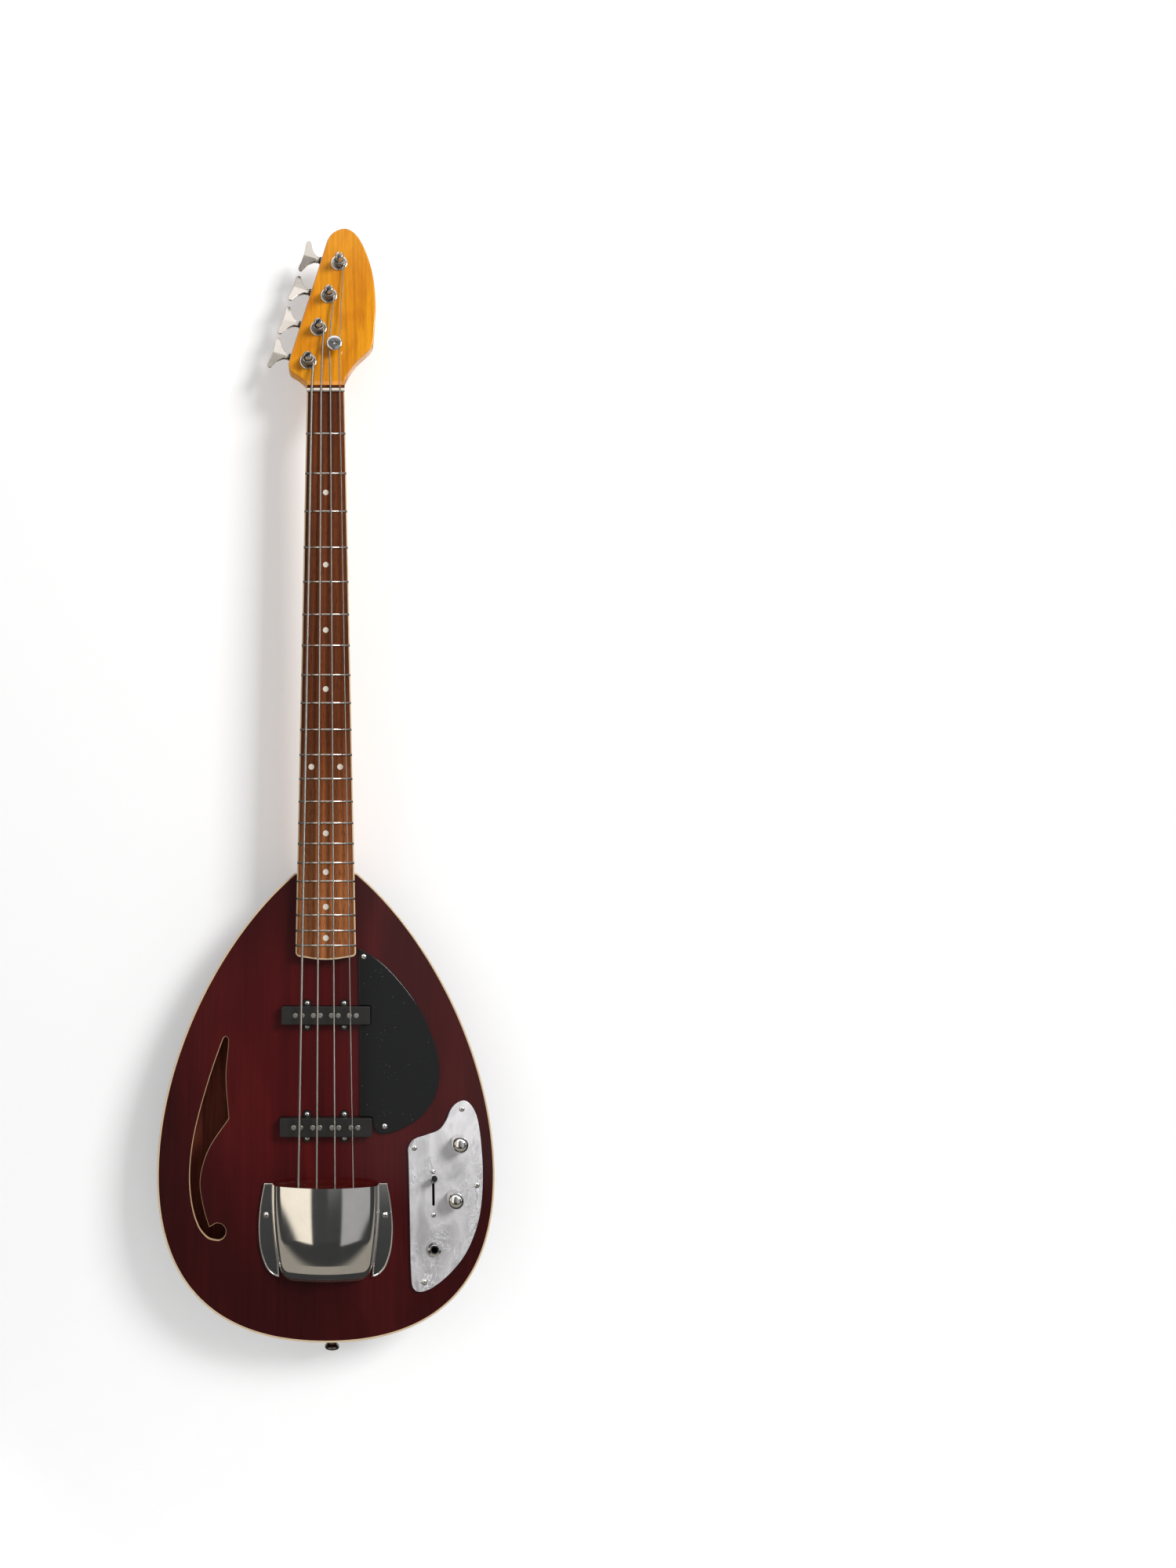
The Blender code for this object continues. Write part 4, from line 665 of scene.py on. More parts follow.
def refined(node, edge=None):
    """Copy a node's solid, merge it, round its edges and let it stand for the node."""
    bm = bmesh.new()
    bm.from_mesh(frame["nodes"][node].data)
    bmesh.ops.remove_doubles(bm, verts=bm.verts, dist=0.00001)
    bmesh.ops.dissolve_limit(bm, angle_limit=math.radians(1.0), verts=bm.verts, edges=bm.edges)
    mesh = bpy.data.meshes.new(node + "_finish")
    bm.to_mesh(mesh)
    bm.free()
    mesh.materials.append(FINISH[NODE_SLOT[node]])
    if edge is None:
        edge = bpy.context.scene.bass_sizes.edge_round / MM
    return fitted(smoothed(new_piece(node + "_finish", mesh), edge, clamp=True), node)


def arc(centre, radius, start, end, steps):
    """Return points on an arc, with the angles in degrees."""
    angles = [math.radians(start + (end - start) * i / steps) for i in range(steps + 1)]
    return [(centre[0] + radius * math.cos(a), centre[1] + radius * math.sin(a)) for a in angles]


def smooth_loop(knots, steps):
    """Trace a closed smooth outline through knots, sharp where one is a CORNER."""
    places = [Vector(knot[:2]) for knot in knots]
    sharp = [len(knot) == 3 for knot in knots]
    count = len(knots)
    outline = []
    for i in range(count):
        here, there = places[i], places[(i + 1) % count]
        if sharp[i] and sharp[(i + 1) % count]:
            outline.append(tuple(here))
            continue
        reach = (there - here).length / 3
        leave = there - here if sharp[i] else there - places[i - 1]
        arrive = there - here if sharp[(i + 1) % count] else places[(i + 2) % count] - here
        trace = interpolate_bezier(here, here + leave.normalized() * reach,
                                   there - arrive.normalized() * reach, there, steps + 1)
        outline += [tuple(p[:2]) for p in trace[:-1]]
    return outline


def mirrored(half):
    """Close a half outline, listed from top to bottom at +X, with its mirror image."""
    other = [(-x, y) for x, y in reversed(half)]
    return half + (other[1:] if abs(half[-1][0]) < 0.001 else other)


def drawn_in(outline, inset):
    """Draw an outline in by an inset, with mitred corners; it runs clockwise seen from the front."""
    line = [Vector(point) for point in outline]
    result = []
    for i, here in enumerate(line):
        arrive = (here - line[i - 1]).normalized()
        leave = (line[(i + 1) % len(line)] - here).normalized()
        side = Vector((-arrive.y - leave.y, arrive.x + leave.x))
        result.append(tuple(here - side * inset / (1.0 + arrive.dot(leave))))
    return result


def rounded_rectangle(half_x, half_z, radius, middle=(0.0, 0.0), steps=8):
    """Return a rectangle with round corners."""
    outline = []
    for sx, sz, start in ((1, 1, 0), (-1, 1, 90), (-1, -1, 180), (1, -1, 270)):
        corner = (middle[0] + sx * (half_x - radius), middle[1] + sz * (half_z - radius))
        outline += arc(corner, radius, start, start + 90, steps)
    return outline


def board_half(z):
    """Return half the width of the bound fingerboard at a height."""
    sizes = bpy.context.scene.bass_sizes
    return (sizes.nut_width + (sizes.end_width - sizes.nut_width) * (z / BOARD_END_Z)) / 2 / MM


def fret_z(number):
    """Return the height of a fret; 0 is the nut."""
    return -bpy.context.scene.bass_sizes.scale_length / MM * (1.0 - 2.0 ** (-number / 12.0))


def string_x(index, z):
    """Return the X of a string between the nut and the saddle."""
    nut_step, saddle_step = STRING_STEPS
    share = -z * MM / bpy.context.scene.bass_sizes.scale_length
    return (index - 1.5) * (nut_step + (saddle_step - nut_step) * share)


def body_outline():
    """Return the body's outline, from the right of the neck round to its left."""
    shoulder = Vector((SHOULDER_X, SHOULDER_Z))
    widest = Vector((BODY_HALF_WIDTH, WIDEST_Z))
    bottom = Vector((0.0, BODY_BOTTOM_Z))
    upper = interpolate_bezier(shoulder, shoulder + Vector(SHOULDER_HANDLE),
                               widest + Vector((0.0, WIDEST_HANDLE_UP)), widest, 45)
    lower = interpolate_bezier(widest, widest - Vector((0.0, WIDEST_HANDLE_DOWN)),
                               bottom + Vector((BOTTOM_HANDLE, 0.0)), bottom, 45)
    return mirrored([(POCKET_HALF, SHOULDER_Z)] + [tuple(p[:2]) for p in upper + lower[1:]])


def board_outline(inset, top_z):
    """Return the fingerboard's outline, drawn in by an inset."""
    corner = BOARD_CORNER - inset
    half = board_half(BOARD_SIDE_END_Z) - inset
    side = [(board_half(top_z) - inset, top_z)]
    side += arc((half - corner, BOARD_SIDE_END_Z), corner, 0, -66, 10)
    side += [(half * 0.45, BOARD_END_Z + 1.0 + inset), (half * 0.22, BOARD_END_Z + 0.25 + inset),
             (0.0, BOARD_END_Z + inset)]
    return mirrored(side)


def ear_places(name):
    """Return X and Z of a pickup's four ears."""
    return [(sx * EAR_PLACE[0], PICKUP_PLACES[name] + sz * EAR_PLACE[1]) for sz in (1, -1) for sx in (-1, 1)]


def pole_places(name):
    """Return the X of a pickup's eight poles."""
    return [pair * POLE_PAIR_STEPS[name] + offset
            for pair in (-1.5, -0.5, 0.5, 1.5) for offset in (-POLE_OFFSET, POLE_OFFSET)]


def sound_hole_outline():
    """Return the cat's-eye hole with its scroll, on the left of the face."""
    scroll = arc((-110.6, -897.1), 8.4, 138, -92, 7)
    right = [(-104.3, -701.6), (-101.6, -705.0), (-104.0, -742.0), (-100.4, -784.5, CORNER),
             (-121.3, -816.0), (-129.4, -846.0), (-125.6, -873.0), (-119.4, -892.5, CORNER)]
    left = [(-121.0, -902.6), (-130.8, -890.5), (-138.0, -866.0), (-139.9, -836.0),
            (-135.4, -798.0), (-122.2, -748.0), (-107.2, -704.2)]
    return smooth_loop(right + [(*scroll[0], CORNER)] + scroll[1:] + left, 8)


def pickguard_outline():
    """Return the pickguard, a half leaf cut out for the two pickups."""
    neck_side = PICKUP_WIDTH / 2 + 0.6
    neck_end = PICKUP_LENGTHS["neck"] / 2 + 0.8
    bridge_top = PICKUP_PLACES["bridge"] + PICKUP_WIDTH / 2 + 0.6
    leaf = smooth_loop(
        [(34.6, -610.5, CORNER), (56.0, -623.5), (75.0, -642.0), (95.0, -668.0), (107.9, -694.0),
         (115.6, -718.0), (117.6, -740.0), (112.5, -763.5), (98.0, -782.5), (80.0, -794.0),
         (63.0, -799.2), (53.5, -798.2), (49.4, -793.0, CORNER), (47.6, bridge_top, CORNER),
         (35.6, bridge_top, CORNER)], 8)
    middle = PICKUP_PLACES["neck"]
    notch = [(35.6, middle - neck_side), (neck_end, middle - neck_side),
             (neck_end, middle + neck_side), (35.0, middle + neck_side)]
    straight = leaf.index(min(leaf, key=lambda p: abs(p[0] - 35.6) + abs(p[1] - bridge_top)))
    return leaf[:straight + 1] + notch


def control_plate_outline():
    """Return the pearl plate that carries the knobs, the switch and the jack."""
    return smooth_loop(
        [(144.5, -766.4), (152.5, -774.0), (157.3, -787.5), (160.2, -812.0), (161.2, -840.0),
         (159.2, -869.3), (154.0, -892.5), (143.0, -917.0), (128.0, -935.5), (110.5, -949.6),
         (97.4, -955.0), (90.0, -953.2), (87.0, -945.0), (85.8, -880.0), (84.9, -822.0, CORNER),
         (84.9, -813.4), (90.0, -805.6), (103.5, -800.6), (116.8, -795.4), (124.5, -785.5),
         (128.8, -775.7), (135.5, -768.6)], 6)


def headstock_outline():
    """Return the headstock's face, with a straight slanted edge on the tuner side."""
    return smooth_loop(
        [(21.2, 201.8), (30.5, 198.3), (39.0, 188.0), (47.5, 168.3), (53.6, 144.5),
         (56.4, 113.0), (55.3, 83.0), (53.6, 64.5), (50.6, 57.5), (35.8, 42.5), (27.0, 30.4),
         (21.8, 20.0), (20.7, BLANK_START_Z, CORNER), (20.7, BLANK_START_Z - 6.0, CORNER),
         (-20.9, BLANK_START_Z - 6.0, CORNER), (-20.9, BLANK_START_Z, CORNER), (-23.2, 17.6),
         (-31.3, 24.8), (-39.6, 30.5), (-41.8, 37.5), (-40.2, 46.0), (-34.0, 67.1, CORNER),
         (-6.6, 159.2, CORNER), (-1.6, 176.0), (3.2, 190.3), (10.2, 198.0)], 8)


def tuner_frame(index, twist=0.0):
    """Return a tuner's frame: X along its key, Y up the headstock's edge, Z out of the back."""
    turn = Matrix(((-math.cos(EDGE_ANGLE), math.sin(EDGE_ANGLE), 0.0),
                   (0.0, 0.0, 1.0),
                   (math.sin(EDGE_ANGLE), math.cos(EDGE_ANGLE), 0.0))).to_4x4()
    place = at(POSTS[index].x, HEAD_BACK_Y, POSTS[index].z, turn)
    worm = Matrix.Translation((0.0, WORM_OFFSET, WORM_HEIGHT))
    return place @ worm @ Matrix.Rotation(twist, 4, "X") @ worm.inverted()


def new_tree(name, *inputs):
    """Start a tree that makes geometry, and return it with its named inputs."""
    tree = bpy.data.node_groups.new(name, "GeometryNodeTree")
    tree.interface.new_socket("Geometry", in_out="INPUT", socket_type="NodeSocketGeometry")
    tree.interface.new_socket("Geometry", in_out="OUTPUT", socket_type="NodeSocketGeometry")
    for label, kind in inputs:
        tree.interface.new_socket(label, in_out="INPUT", socket_type="NodeSocket" + kind)
    return tree, tree.nodes.new("NodeGroupInput").outputs


def close_tree(tree, geometry, material):
    """Make the tree's instances real, give them their material and send them out."""
    real = add(tree, "GeometryNodeRealizeInstances", {0: geometry}).outputs[0]
    painted = add(tree, "GeometryNodeSetMaterial", {"Geometry": real, "Material": material}).outputs[0]
    add(tree, "NodeGroupOutput", {0: painted})
    return tree


def fret_tree():
    """Tree: crowned bars across the board, each a twelfth root nearer than the last."""
    tree, given = new_tree("frets", ("Count", "Int"), ("Scale length", "Float"), ("Nut width", "Float"),
                           ("End width", "Float"), ("Fret width", "Float"), ("Fret height", "Float"),
                           ("Material", "Material"))
    line = add(tree, "GeometryNodeMeshLine", {"Count": given["Count"]}).outputs[0]
    number = maths(tree, "ADD", add(tree, "GeometryNodeInputIndex").outputs[0], 1.0)
    left = maths(tree, "POWER", 2.0, maths(tree, "DIVIDE", number, -12.0))
    height = maths(tree, "MULTIPLY", given["Scale length"], maths(tree, "SUBTRACT", left, 1.0))
    place = add(tree, "ShaderNodeCombineXYZ", {"Z": height}).outputs[0]
    placed_line = add(tree, "GeometryNodeSetPosition", {"Geometry": line, "Position": place}).outputs[0]
    share = maths(tree, "DIVIDE", height, BOARD_END_Z * MM)
    widening = maths(tree, "SUBTRACT", given["End width"], given["Nut width"])
    width = maths(tree, "ADD", given["Nut width"], maths(tree, "MULTIPLY", widening, share))
    size = add(tree, "ShaderNodeCombineXYZ", {"X": maths(tree, "DIVIDE", given["Fret width"], 2.0),
                                              "Y": given["Fret height"],
                                              "Z": maths(tree, "DIVIDE", width, 2.0)}).outputs[0]
    bar = add(tree, "GeometryNodeMeshCylinder", {"Vertices": 20, "Radius": 1.0, "Depth": 2.0}).outputs[0]
    smooth = add(tree, "GeometryNodeSetShadeSmooth", {"Geometry": bar}).outputs[0]
    bars = add(tree, "GeometryNodeInstanceOnPoints", {"Points": placed_line, "Instance": smooth,
                                                      "Rotation": (0.0, math.pi / 2, 0.0),
                                                      "Scale": size}).outputs[0]
    return close_tree(tree, bars, given["Material"])


def scatter_tree():
    """Tree: a copy of one pattern on every point, each turned about Y by a random angle."""
    tree, given = new_tree("scatter", ("Pattern", "Object"), ("Size", "Float"), ("Most turn", "Float"),
                           ("Seed", "Int"), ("Material", "Material"))
    shape = add(tree, "GeometryNodeObjectInfo", {"Object": given["Pattern"]}).outputs["Geometry"]
    angle = add(tree, "FunctionNodeRandomValue", {3: given["Most turn"], "Seed": given["Seed"]}).outputs[1]
    turn = add(tree, "ShaderNodeCombineXYZ", {"Y": angle}).outputs[0]
    copies = add(tree, "GeometryNodeInstanceOnPoints", {"Points": given["Geometry"], "Instance": shape,
                                                        "Rotation": turn, "Scale": given["Size"]}).outputs[0]
    return close_tree(tree, copies, given["Material"])


def wire_tree():
    """Tree: a round wire along a line, which keeps the length along it for the windings."""
    tree, given = new_tree("wire", ("Radius", "Float"), ("Material", "Material"))
    line = add(tree, "GeometryNodeMeshToCurve", {0: given["Geometry"]}).outputs[0]
    length = add(tree, "GeometryNodeSplineParameter").outputs["Length"]
    kept = add(tree, "GeometryNodeStoreNamedAttribute", {"Geometry": line, "Name": "along", "Value": length},
               data_type="FLOAT", domain="POINT").outputs[0]
    ring = add(tree, "GeometryNodeCurvePrimitiveCircle",
               {"Resolution": 14, "Radius": given["Radius"]}).outputs[0]
    wire = add(tree, "GeometryNodeCurveToMesh", {"Curve": kept, "Profile Curve": ring,
                                                 "Fill Caps": True}).outputs[0]
    smooth = add(tree, "GeometryNodeSetShadeSmooth", {"Geometry": wire}).outputs[0]
    return close_tree(tree, smooth, given["Material"])


def binding_tree():
    """Tree: a strip of plastic with rounded corners along a line in the face's plane."""
    tree, given = new_tree("binding", ("Width", "Float"), ("Depth", "Float"), ("Rounding", "Float"),
                           ("Material", "Material"))
    line = add(tree, "GeometryNodeMeshToCurve", {0: given["Geometry"]}).outputs[0]
    level = add(tree, "GeometryNodeSetCurveNormal", {"Curve": line, "Normal": (0.0, 1.0, 0.0)},
                mode="FREE").outputs[0]
    section = add(tree, "GeometryNodeCurvePrimitiveQuadrilateral",
                  {"Width": given["Depth"], "Height": given["Width"]}).outputs[0]
    rounded = add(tree, "GeometryNodeFilletCurve",
                  {"Curve": section, "Count": 3, "Radius": given["Rounding"]}, mode="POLY").outputs[0]
    strip = add(tree, "GeometryNodeCurveToMesh", {"Curve": level, "Profile Curve": rounded,
                                                  "Fill Caps": True}).outputs[0]
    return close_tree(tree, strip, given["Material"])


def grown(name, tree, points, values, joined=False):
    """Run a tree on points in millimetres with its inputs set by name, and keep a plain mesh."""
    mesh = bpy.data.meshes.new(name)
    edges = [(i, i + 1) for i in range(len(points) - 1)] if joined else []
    mesh.from_pydata([Vector(point) * MM for point in points], edges, [])
    piece = new_piece(name, mesh)
    modifier = piece.modifiers.new(tree.name, "NODES")
    modifier.node_group = tree
    for item in tree.interface.items_tree:
        if item.in_out == "INPUT" and item.name in values:
            modifier[item.identifier] = values[item.name]
    return bake(piece)


def scattered(name, pattern, finish, points, seed=1):
    """Put a copy of a pattern on every point."""
    return grown(name, TREES["scatter"], points, {"Pattern": pattern, "Size": 1.0, "Most turn": math.pi,
                                                  "Seed": seed, "Material": FINISH[finish]})


class BASS_OT_finishes(bpy.types.Operator):
    """Make the finishes and the trees, and give every node its own finish"""

    bl_idname = "bass.finishes"
    bl_label = "Finishes"

    def execute(self, context):
        FINISH.update(make_finishes())
        TREES.update(frets=fret_tree(), scatter=scatter_tree(), wire=wire_tree(), binding=binding_tree())
        for node, piece in frame["nodes"].items():
            piece.data.materials.clear()
            piece.data.materials.append(FINISH[NODE_SLOT[node]])
        return {"FINISHED"}


def pickup_rooms(name, clearance):
    """Return cutters for a pickup and its four ears."""
    middle = PICKUP_PLACES[name]
    half, side = PICKUP_LENGTHS[name] / 2 + clearance, PICKUP_WIDTH / 2 + clearance
    return [plate("room", "bare_wood", rounded_rectangle(half, side, 2.0, (0.0, middle)), 7.0, 31.0)] + [
        rod("ear_room", "bare_wood", (x, 7.0, z), (x, 19.0, z), EAR_RADIUS + clearance)
        for x, z in ear_places(name)]


def neck_pocket():
    """Return a cutter for the pocket that takes the heel."""
    high, low = SHOULDER_Z + 8.0, HEEL_END_Z - GAP
    return plate("pocket", "bare_wood", [(board_half(high) + GAP, high), (board_half(low) + GAP, low),
                                         (-board_half(low) - GAP, low), (-board_half(high) - GAP, high)],
                 5.0, HEEL_BACK_Y + GAP)


class BASS_OT_body(bpy.types.Operator):
    """Build the hollow body, its top with the sound hole, and its binding"""

    bl_idname = "bass.body"
    bl_label = "Body"

    def execute(self, context):
        edge = body_outline()
        under_top = BODY_FACE_Y + TOP_THICKNESS + GAP
        under_binding = BODY_FACE_Y + BODY_BINDING_DEPTH + GAP
        levels = [(BODY_BINDING_WIDTH + GAP, under_top), (BODY_BINDING_WIDTH + GAP, under_binding),
                  (0.0, under_binding)]
        for step in range(9):
            angle = math.pi / 2 * step / 8
            levels.append((BACK_ROUND * (1 - math.cos(angle)),
                           BODY_BACK_Y - BACK_ROUND * (1 - math.sin(angle))))
        shell = loft("body_shell_finish", "cherry_lacquer",
                     [[(x, y, z) for x, z in drawn_in(edge, inset)] for inset, y in levels])
        cutters = [neck_pocket()]
        rim = [p for p in drawn_in(edge, RIM_THICKNESS) if p[0] > BLOCK_HALF and p[1] < -590.0]
        for side in (1, -1):
            room = [(side * x, z) for x, z in rim] + [(side * BLOCK_HALF, rim[-1][1]),
                                                      (side * BLOCK_HALF, rim[0][1])]
            cutters.append(plate("chamber", "bare_wood", room, BODY_FACE_Y, CHAMBER_FLOOR_Y))
        for name in PICKUP_PLACES:
            cutters += pickup_rooms(name, 0.8)
        finished(worked(shell, "DIFFERENCE", *cutters), "body_shell")

        top = plate("top_plate_finish", "cherry_lacquer", drawn_in(edge, BODY_BINDING_WIDTH), BODY_FACE_Y,
                    BODY_FACE_Y + TOP_THICKNESS)
        hole = sound_hole_outline()
        mouth = [(-0.7, BODY_FACE_Y - 1.0), (-0.7, BODY_FACE_Y - 0.15), (0.0, BODY_FACE_Y + 0.5),
                 (0.0, BODY_FACE_Y + 6.0)]
        cutters = [loft("mouth", "cut_wood", [[(x, y, z) for x, z in drawn_in(hole, inset)]
                                              for inset, y in mouth]), neck_pocket()]
        opening = [(125.0, -794.5), (152.0, -794.5), (153.0, -860.0), (146.0, -893.0), (124.0, -928.0),
                   (97.0, -928.0), (97.0, -828.0), (122.0, -818.0)]
        cutters.append(plate("opening", "bare_wood", opening, 8.0, 16.0))
        for name in PICKUP_PLACES:
            cutters += pickup_rooms(name, 0.5)
        finished(worked(top, "DIFFERENCE", *cutters), "top_plate")

        middle_y = BODY_FACE_Y + BODY_BINDING_DEPTH / 2
        line = [(x, middle_y, z) for x, z in drawn_in(edge, BODY_BINDING_WIDTH / 2)]
        strip = grown("body_binding_finish", TREES["binding"], line,
                      {"Width": BODY_BINDING_WIDTH * MM, "Depth": BODY_BINDING_DEPTH * MM,
                       "Rounding": 0.6 * MM, "Material": FINISH["cream_plastic"]}, joined=True)
        finished(strip, "body_binding")
        return {"FINISHED"}


def neck_ring(z, half, top_y, back_y, power):
    """Return a section of the neck: flat on top, round behind and cut level with the headstock's back."""
    level = HEAD_BACK_Y - 0.02 if z > -100.0 else HEEL_BACK_Y
    ring = []
    for i in range(49):
        angle = math.pi * i / 48
        across = math.copysign(abs(math.cos(angle)) ** (2.0 / power), math.cos(angle))
        deep = top_y + (back_y - top_y) * math.sin(angle) ** (2.0 / power)
        ring.append(((board_half(z) if half is None else half) * across, min(deep, level), z))
    return ring


class BASS_OT_neck(bpy.types.Operator):
    """Build the neck with its heel, headstock and nut"""

    bl_idname = "bass.neck"
    bl_label = "Neck"

    def execute(self, context):
        # Height, half width, top, back and roundness of the sections, and the rings to the next one
        top = NECK_TOP_Y
        stations = ((HEEL_END_Z, None, top, HEEL_BACK_Y, 14.0, 1), (-520.0, None, top, HEEL_BACK_Y, 14.0, 16),
                    (-503.0, None, top, 25.2, 4.6, 10), (-486.0, None, top, 23.6, 2.2, 1),
                    (-432.0, None, top, 23.0, 2.1, 1), (-60.0, None, top, 21.1, 2.1, 1),
                    (-24.0, None, top, 21.2, 2.1, 16), (-8.0, None, top, 25.4, 2.15, 18),
                    (6.0, None, top, 34.0, 2.3, 4), (BOARD_TOP_Z + 0.5, 20.9, top, 41.0, 2.4, 2),
                    (11.0, 20.9, 8.4, 55.0, 2.5, 2), (14.0, 20.8, 10.3, 75.0, 2.6, 2),
                    (18.0, 20.7, 10.97, 95.0, 2.8, 1), (28.0, 20.6, 11.2, 120.0, 2.8, 1))
        rings = []
        for one, two in zip(stations, stations[1:]):
            for step in range(one[5]):
                rings.append(neck_ring(*(None if a is None or b is None else a + (b - a) * step / one[5]
                                         for a, b in zip(one[:5], two[:5]))))
        rings.append(neck_ring(*stations[-1][:5]))
        neck = loft("neck_finish", "maple_lacquer", rings)
        blank = plate("blank", "maple_lacquer", headstock_outline(), HEAD_FACE_Y, HEAD_BACK_Y)
        smoothed(blank, HEAD_EDGE_ROUND, 50.0, 4)
        end = box("end", "maple_lacquer", (-30.0, 0.0, -10.0), (30.0, 40.0, BLANK_START_Z))
        worked(blank, "DIFFERENCE", end)
        finished(worked(neck, "UNION", blank), "neck", angle=40.0)
        refined("nut", 0.35)
        return {"FINISHED"}


class BASS_OT_fingerboard(bpy.types.Operator):
    """Build the fingerboard with its binding, frets and markers"""

    bl_idname = "bass.fingerboard"
    bl_label = "Fingerboard"

    def execute(self, context):
        sizes = context.scene.bass_sizes
        half = board_half(0.0) + 1.0

        def nut_cutters():
            return (box("slot", "rosewood", (-half, -1.0, 0.0), (half, NUT_SLOT_DEPTH, NUT_LENGTH)),
                    box("ramp", "rosewood", (-half, -1.5, NUT_LENGTH - 0.5), (half, 1.0, BOARD_TOP_Z + 1.0)))

        board = plate("fingerboard_finish", "rosewood", board_outline(BINDING_WIDTH, BOARD_TOP_Z), 0.0,
                      BOARD_THICKNESS)
        finished(worked(board, "DIFFERENCE", *nut_cutters()), "fingerboard")
        line = [(x, BOARD_THICKNESS / 2, z) for x, z in board_outline(BINDING_WIDTH / 2, BOARD_TOP_Z)]
        strip = grown("fingerboard_binding_finish", TREES["binding"], line,
                      {"Width": BINDING_WIDTH * MM, "Depth": BOARD_THICKNESS * MM, "Rounding": 0.4 * MM,
                       "Material": FINISH["cream_plastic"]}, joined=True)
        finished(worked(strip, "DIFFERENCE", *nut_cutters()), "fingerboard_binding")

        frets = grown("frets", TREES["frets"], [(0.0, 0.0, 0.0)],
                      {"Count": sizes.fret_count, "Scale length": sizes.scale_length,
                       "Nut width": sizes.nut_width, "End width": sizes.end_width,
                       "Fret width": sizes.fret_width, "Fret height": sizes.fret_height,
                       "Material": FINISH["nickel"]})
        fitted(frets, "fingerboard", "nickel")

        def between(number):
            return (fret_z(number) + fret_z(number - 1)) / 2

        radius = sizes.marker_width / 2 / MM
        section = ((0.0, 0.04), (radius - 0.15, 0.04), (radius, 0.0), (radius, -0.5), (0.0, -0.5))
        dot = turned("dot", "bone_plastic", section, FACE, 28)
        places = [(0.0, 0.0, between(number)) for number in MARKED_FRETS]
        places += [(x, 0.0, between(OCTAVE_FRET)) for x in (-OCTAVE_MARKER_X, OCTAVE_MARKER_X)]
        markers = scattered("fret_markers", dot, "bone_plastic", places)
        finished(markers, "fingerboard", "bone_plastic")
        bpy.data.objects.remove(dot)
        return {"FINISHED"}


def string_route(index):
    """Return a string's line, from its turns round the post to the bridge."""
    radius = STRING_RADII[index]
    post = POSTS[index]
    under_nut, under_saddle = STRING_UNDERSIDES
    scale = bpy.context.scene.bass_sizes.scale_length / MM
    route = []
    if index > 1:
        x, y = (4.2, 15.4)[index - 2], 3.65 + radius
        route += [(x, y, RETAINER_PLACE[1] + 3.0), (x, y, RETAINER_PLACE[1] - 3.0)]
    route += [(string_x(index, 0.0), under_nut - radius, z) for z in (NUT_LENGTH + 0.4, -1.5)]
    route += [(string_x(index, z), under_nut + (under_saddle - under_nut) * -z / scale - radius, z)
              for z in (-scale / 2, -scale + 6.0)]
    last = string_x(index, -scale)
    route += [(last, under_saddle - radius, -scale - 7.5), (last, 4.0, BRIDGE_WALL_Z + 1.0),
              (last, 4.0, BRIDGE_WALL_Z - 5.0)]
    first = route[0] if index > 1 else (string_x(index, 0.0), 0.0, NUT_LENGTH)
    round_post = POST_WAIST_RADIUS + radius + 0.4
    reach = math.hypot(first[0] - post.x, first[2] - post.z)
    leave = math.atan2(first[2] - post.z, first[0] - post.x) + math.acos(round_post / reach)
    lowest = BUSHING_FACE_Y - 0.4 - radius
    turns = []
    for i in range(WINDING_TURNS[index] * WINDING_POINTS + 1):
        turn = i / WINDING_POINTS
        angle = leave + 2 * math.pi * turn
        turns.append((post.x + round_post * math.cos(angle), lowest - (2 * radius + WINDING_GAP) * turn,
                      post.z + round_post * math.sin(angle)))
    return turns[::-1] + route


class BASS_OT_strings(bpy.types.Operator):
    """Wind the four strings round their posts and run them to the bridge"""

    bl_idname = "bass.strings"
    bl_label = "Strings"

    def execute(self, context):
        for index, name in enumerate(STRING_NAMES):
            string = grown("string_%s_finish" % name, TREES["wire"], string_route(index),
                           {"Radius": STRING_RADII[index] * MM, "Material": FINISH["string_" + name]},
                           joined=True)
            fitted(string, "string_" + name)
        return {"FINISHED"}


